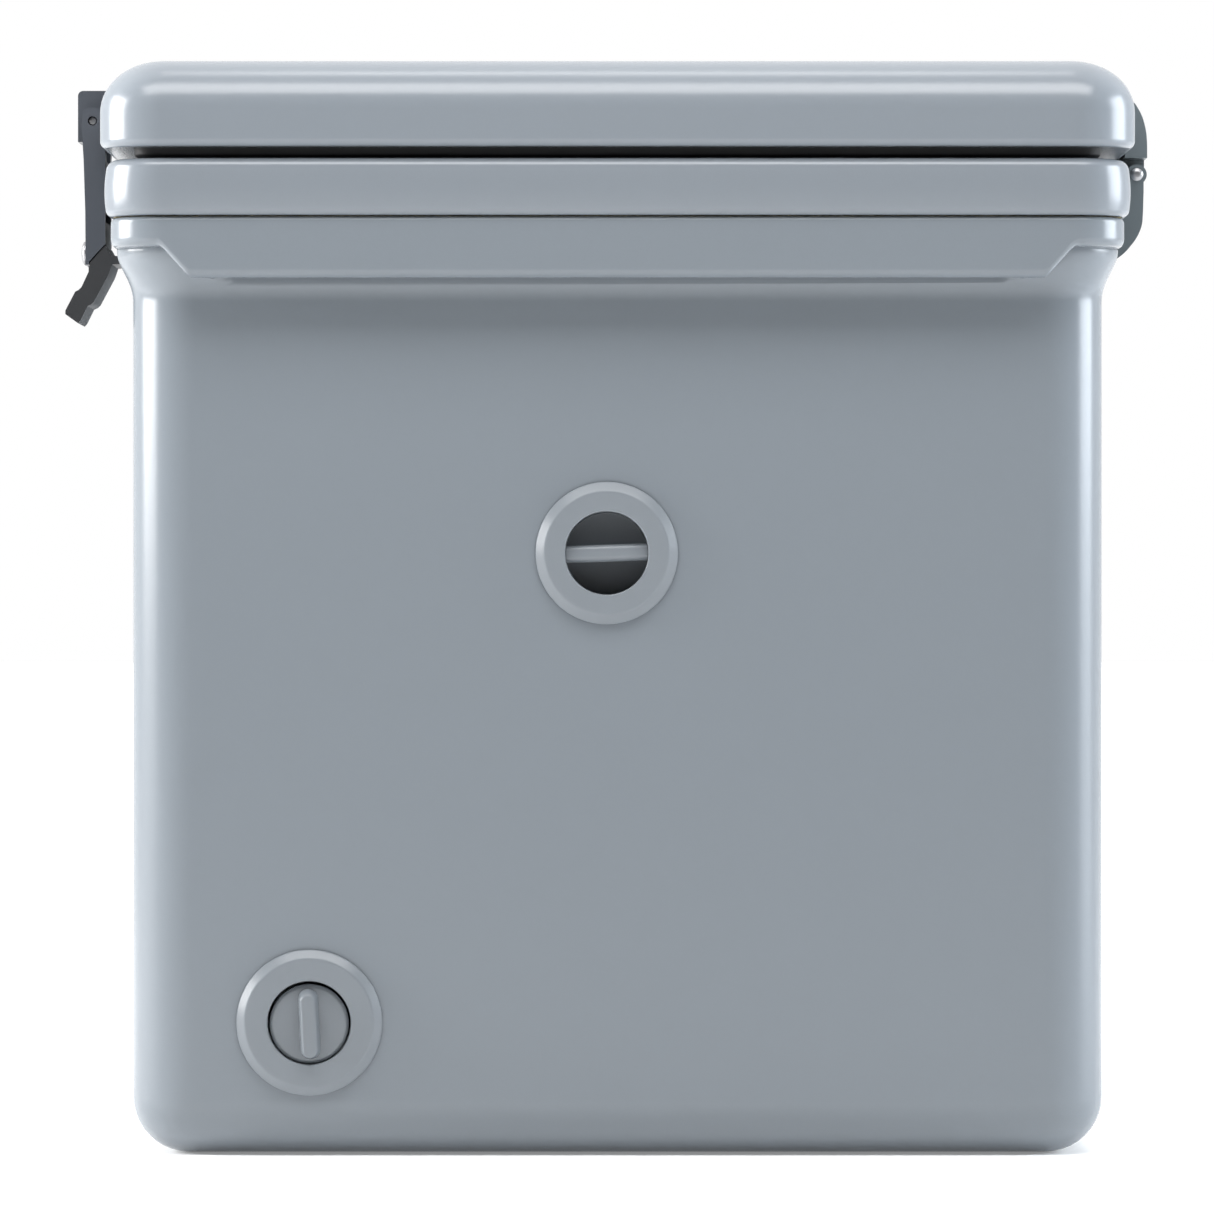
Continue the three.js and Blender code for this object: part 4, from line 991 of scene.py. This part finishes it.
def make_arm(y, number):
    half = LATCH_WIDTH / 2
    outline = arc(LATCH_X, LATCH_Z, NOSE, 0, 135, 24) + [
        (LATCH_X - 5.2, LATCH_Z - 2), (LATCH_X - 4.2, LATCH_Z - 18), (LATCH_X - 3.4, LATCH_Z - 43),
        (LATCH_X - 3.2, BAND_BOTTOM - 4.4), (LATCH_X - 1.6, BAND_BOTTOM - 4.4),
        (LATCH_X - 1.6, BAND_BOTTOM - 3), (ARM_BACK, BAND_BOTTOM + 5.4), (ARM_BACK, LATCH_Z - 16),
    ]
    node = f"latch_arm_{number}"
    arm = prism(node + "_fine", outline, "Y", y - half, y + half)
    window = HOOD_WIDTH / 2 + 0.5
    cut(arm, block("window", (LATCH_X - 20, y - window, LATCH_Z - 19), (0, y + window, HEIGHT)))
    channel = (LATCH_X - 1.6, y - half + 4, BAND_BOTTOM - 5)
    cut(arm, block("channel", channel, (0, y + half - 4, LATCH_Z - 23)))
    cut(arm, pivot_bore(y))
    rivet_ways(arm, y, 0.3)
    soften(arm, 0.6, 3, 28)
    smooth(arm, 50)
    return finish_piece(arm, "latch_" + number, node, "latch_nylon")


def make_catch(y, number):
    half = LATCH_WIDTH / 2
    left = LATCH_X - 1.3
    outline = [
        (left, BAND_BOTTOM - 3.7), (ARM_BACK + 0.2, BAND_BOTTOM + 4.6), (-LID_X + 0.4, CATCH_TOP),
        (-BODY_X - 5, CATCH_TOP), (-BODY_X - 4.3, CATCH_TOP - 1.7), (-BODY_X - 5.5, CATCH_TOP - 3.5),
        (-LID_X + 0.7, CATCH_TOP - 4.1), (-LID_X - 0.9, CATCH_TOP - 8.8), (LATCH_X + 0.8, CATCH_TOP - 21.7),
        (LATCH_X - 0.5, CATCH_TOP - 23), (LATCH_X - 2.3, CATCH_TOP - 23.8), (LATCH_X - 5.7, CATCH_TOP - 30.7),
        (LATCH_X - 6.9, CATCH_TOP - 32), (LATCH_X - 12.9, CATCH_TOP - 27.7), (LATCH_X - 12.9, CATCH_TOP - 26),
        (LATCH_X - 8.2, CATCH_TOP - 17), (LATCH_X - 6.5, CATCH_TOP - 16.1), (LATCH_X - 5.2, CATCH_TOP - 14.8),
        (LATCH_X - 1.8, CATCH_TOP - 7.5), (LATCH_X - 1.8, BAND_BOTTOM - 5), (left, BAND_BOTTOM - 5),
    ]
    node = f"latch_catch_{number}"
    catch = prism(node + "_fine", outline, "Y", y - half, y + half)
    low = (left, y - half + 4.3, BAND_BOTTOM - 4)
    join(catch, block("tongue", low, (ARM_BACK + 0.1, y + half - 4.3, BAND_BOTTOM + 16)))
    rivet_ways(catch, y, 0.3)
    soften(catch, 0.6, 3, 28)
    smooth(catch, 50)
    return finish_piece(catch, "latch_" + number, node, "catch_black")


def make_rivet(y, name, body):
    seat, tip = LATCH_X - 3.6, LATCH_X + 4
    profile = [(0, seat - 2.4)]
    for turn in range(10, 91, 10):
        angle = math.radians(turn)
        profile.append((5.75 * math.sin(angle), seat - 0.5 - 1.9 * math.cos(angle)))
    profile += [(5.75, seat), (2.2, seat), (2.2, tip - 0.4), (1.8, tip), (0, tip)]
    rivet = turned(name + "_fine", profile, "X", (0, y, RIVET_Z), 48)
    smooth(rivet, 50)
    return finish_piece(rivet, body, name, "stainless")


def make_latch_pin(y, number):
    half = LATCH_WIDTH / 2 - 1.6
    profile = [(0, -half), (2, -half), (2, half), (0, half)]
    pin = turned(f"latch_pin_{number}_fine", rounded(profile, 0.6, 3), "Y", (LATCH_X, y, LATCH_Z), 40)
    smooth(pin, 50)
    return finish_piece(pin, "lid", f"latch_pin_{number}", "stainless")


for end, number in ENDS:
    y = end * LATCH_Y
    make_bracket(y, number)
    make_arm(y, number)
    make_catch(y, number)
    make_latch_pin(y, number)
    for side, letter in ((-1, "a"), (1, "b")):
        make_rivet(y + side * RIVET_SPREAD, f"latch_rivet_{number}{letter}", "latch_" + number)
        spot = y + side * (LATCH_WIDTH + EAR) / 2
        seat = -LID_X - PLATE - 2 * GAP
        make_screw(f"latch_screw_{number}{letter}", "lid", seat, -LID_X + SKIN - 0.5, -1, spot, LATCH_Z - 6)

# ---- Wheels ----
HUB = WHEEL_RADIUS - 14
CAP = 21


def make_tyre(side, word):
    """A solid rubber tyre with rounded shoulders and four tread grooves."""
    width = WHEEL_OUTER - WHEEL_INNER
    edge = 7
    top = WHEEL_RADIUS
    tread = []
    for i in range(4):
        middle = edge + (width - 2 * edge) * (i + 0.5) / 4
        tread += [(top, middle - 1.6), (top - 1.4, middle - 0.9)]
        tread += [(top - 1.4, middle + 0.9), (top, middle + 1.6)]
    profile = [(HUB + GAP, 0.8), (HUB + 1, 0), (top - edge - 4, 0)] + arc(top - edge, edge, edge, -90, 0, 8)
    profile += tread + arc(top - edge, width - edge, edge, 0, 90, 8)
    profile += [(top - edge - 4, width), (HUB + 1, width), (HUB + GAP, width - 0.8)]
    placed = [(r, side * (WHEEL_INNER + along)) for r, along in profile]
    tyre = turned(f"tyre_{word}_fine", placed, "X", (0, AXLE_Y, AXLE_Z), 128, True)
    smooth(tyre, 50)
    return finish_piece(tyre, "wheel_" + word, "tyre_" + word, "tyre")


def make_hub(side, word):
    near, far, middle = 2, WHEEL_OUTER - WHEEL_INNER - 2, (WHEEL_OUTER - WHEEL_INNER) / 2
    profile = [
        (8.3, near), (17, near), (17, middle - 4), (HUB - 6, middle - 4), (HUB - 6, near), (HUB, near),
        (HUB, far), (HUB - 6, far), (HUB - 6, middle + 4), (CAP + 3, middle + 4), (CAP + 3, far - 5),
        (CAP, far - 5), (CAP, far - 8), (8.3, far - 8),
    ]
    placed = [(r, side * (WHEEL_INNER + along)) for r, along in rounded(profile, 1.2, 3, True)]
    hub = turned(f"hub_{word}_fine", placed, "X", (0, AXLE_Y, AXLE_Z), 96, True)
    window = (HUB - 9 - CAP) / 2 - 1.5
    reach = (HUB - 6 + CAP + 3) / 2
    for i in range(6):
        angle = math.radians(60 * i)
        y, z = AXLE_Y + reach * math.cos(angle), AXLE_Z + reach * math.sin(angle)
        cut(hub, rod("window", window, -7, 7, "X", (side * (WHEEL_INNER + middle), y, z), 40))
    smooth(hub, 50)
    return finish_piece(hub, "wheel_" + word, "hub_" + word, "hub")


def make_cap(side, word):
    face, rim, seat = WHEEL_OUTER + 1, CAP - GAP, WHEEL_OUTER - 10 + GAP
    profile = [
        (0, face), (rim - 6.7, face - 0.4), (rim - 1.7, face - 2), (rim, face - 4), (rim, seat),
        (rim - 3.7, seat), (rim - 3.7, face - 4.5), (rim - 7.7, face - 2.2), (0, face - 1.8),
    ]
    placed = [(r, side * along) for r, along in rounded(profile, 1.5, 4)]
    cap = turned(f"hub_cap_{word}_fine", placed, "X", (0, AXLE_Y, AXLE_Z), 72)
    smooth(cap, 50)
    return finish_piece(cap, "wheel_" + word, "hub_cap_" + word, "hub")


for side, word in ((-1, "left"), (1, "right")):
    make_tyre(side, word)
    make_hub(side, word)
    make_cap(side, word)

# ---- Floor, light and camera ----


def graded(tree, source, limits, interpolation="LINEAR"):
    """Turns a number into another: limits are where it starts and ends, and its values there."""
    grade = tree.nodes.new("ShaderNodeMapRange")
    grade.interpolation_type = interpolation
    for name, value in zip(("From Min", "From Max", "To Min", "To Max"), limits):
        grade.inputs[name].default_value = value
    tree.links.new(source, grade.inputs["Value"])
    return grade.outputs["Result"]


def make_floor():
    """A pale floor that glows more towards the far side, so that it meets the backdrop without an edge."""
    size = 30.0
    mesh = bpy.data.meshes.new("floor")
    corners = [(-size, -size, 0), (size, -size, 0), (size, size, 0), (-size, size, 0)]
    mesh.from_pydata(corners, [], [(0, 1, 2, 3)])
    floor = bpy.data.objects.new("floor", mesh)
    bpy.context.scene.collection.objects.link(floor)
    floor.location.z = -0.0005
    material = bpy.data.materials.new("floor")
    material.use_nodes = True
    shader = material.node_tree.nodes["Principled BSDF"]
    shader.inputs["Base Color"].default_value = (0.85, 0.85, 0.85, 1)
    shader.inputs["Roughness"].default_value = 0.8
    shader.inputs["Emission Color"].default_value = (1, 1, 1, 1)
    tree = material.node_tree
    place = tree.nodes.new("ShaderNodeTexCoord")
    split = tree.nodes.new("ShaderNodeSeparateXYZ")
    tree.links.new(place.outputs["Object"], split.inputs["Vector"])
    glow = graded(tree, split.outputs["Y"], (-0.2, 1.4, 0.2, 0.75), "SMOOTHSTEP")
    tree.links.new(glow, shader.inputs["Emission Strength"])
    mesh.materials.append(material)


def softbox(name, place, aim, width, height, radiance, colour=(1, 1, 1)):
    data = bpy.data.lights.new(name, "AREA")
    data.shape = "RECTANGLE"
    data.size, data.size_y = width, height
    data.energy = radiance * math.pi * width * height
    data.color = colour
    lamp = bpy.data.objects.new(name, data)
    bpy.context.scene.collection.objects.link(lamp)
    lamp.location = place
    lamp.rotation_euler = (Vector(aim) - Vector(place)).to_track_quat("-Z", "Y").to_euler()
    return lamp


def studio_walls():
    """Light from behind and overhead, and less from in front; the camera itself sees plain white."""
    world = bpy.data.worlds.new("studio")
    bpy.context.scene.world = world
    world.use_nodes = True
    tree = world.node_tree
    tree.nodes["Background"].inputs["Color"].default_value = (1, 1, 1, 1)
    place = tree.nodes.new("ShaderNodeTexCoord")
    split = tree.nodes.new("ShaderNodeSeparateXYZ")
    tree.links.new(place.outputs["Generated"], split.inputs["Vector"])
    depth = graded(tree, split.outputs["Y"], (-0.35, 0.35, 0.06, 1.05), "SMOOTHSTEP")
    height = graded(tree, split.outputs["Z"], (0.2, 1.0, 0.0, 0.35))
    both = tree.nodes.new("ShaderNodeMath")
    tree.links.new(depth, both.inputs[0])
    tree.links.new(height, both.inputs[1])
    seen = tree.nodes.new("ShaderNodeLightPath")
    backdrop = tree.nodes.new("ShaderNodeMix")
    tree.links.new(seen.outputs["Is Camera Ray"], backdrop.inputs["Factor"])
    tree.links.new(both.outputs["Value"], backdrop.inputs["A"])
    backdrop.inputs["B"].default_value = 1.0
    tree.links.new(backdrop.outputs["Result"], tree.nodes["Background"].inputs["Strength"])


def light_stage():
    studio_walls()
    softbox("left_box", (-2.3, -0.24, 0.9), (-0.24, -0.35, 0.35), 1.3, 1.1, 20)
    softbox("right_box", (2.3, -0.18, 0.9), (0.24, -0.35, 0.35), 1.2, 1.1, 12, (0.86, 0.93, 1.0))
    softbox("right_fill", (2.3, -0.2, 0.25), (0.24, -0.35, 0.2), 1.0, 0.5, 3, (0.86, 0.93, 1.0))
    softbox("key_box", (0, -1.0, 1.55), (0, -0.37, 0.4), 1.9, 0.6, 7.6)
    softbox("edge_box", (0, 0.12, 2.5), (0, -0.37, 0.5), 0.7, 0.35, 5)


def place_camera():
    """Square on to the drain end, at mid height, with a long lens."""
    reach = 3390 * MM  # from the lid's end to the camera
    view_width = 561.1 * MM  # what the picture takes in at the lid's end
    aside, height = -4.9 * MM, 255.6 * MM
    data = bpy.data.cameras.new("camera")
    data.sensor_width = 36
    data.lens = 36 * reach / view_width
    data.clip_start, data.clip_end = 0.05, 100
    camera = bpy.data.objects.new("camera", data)
    bpy.context.scene.collection.objects.link(camera)
    camera.location = (aside, -LID_Y * MM - reach, height)
    camera.rotation_euler = (math.pi / 2, 0, 0)
    bpy.context.scene.camera = camera


make_floor()
light_stage()
place_camera()
bpy.context.scene.view_settings.view_transform = "Standard"
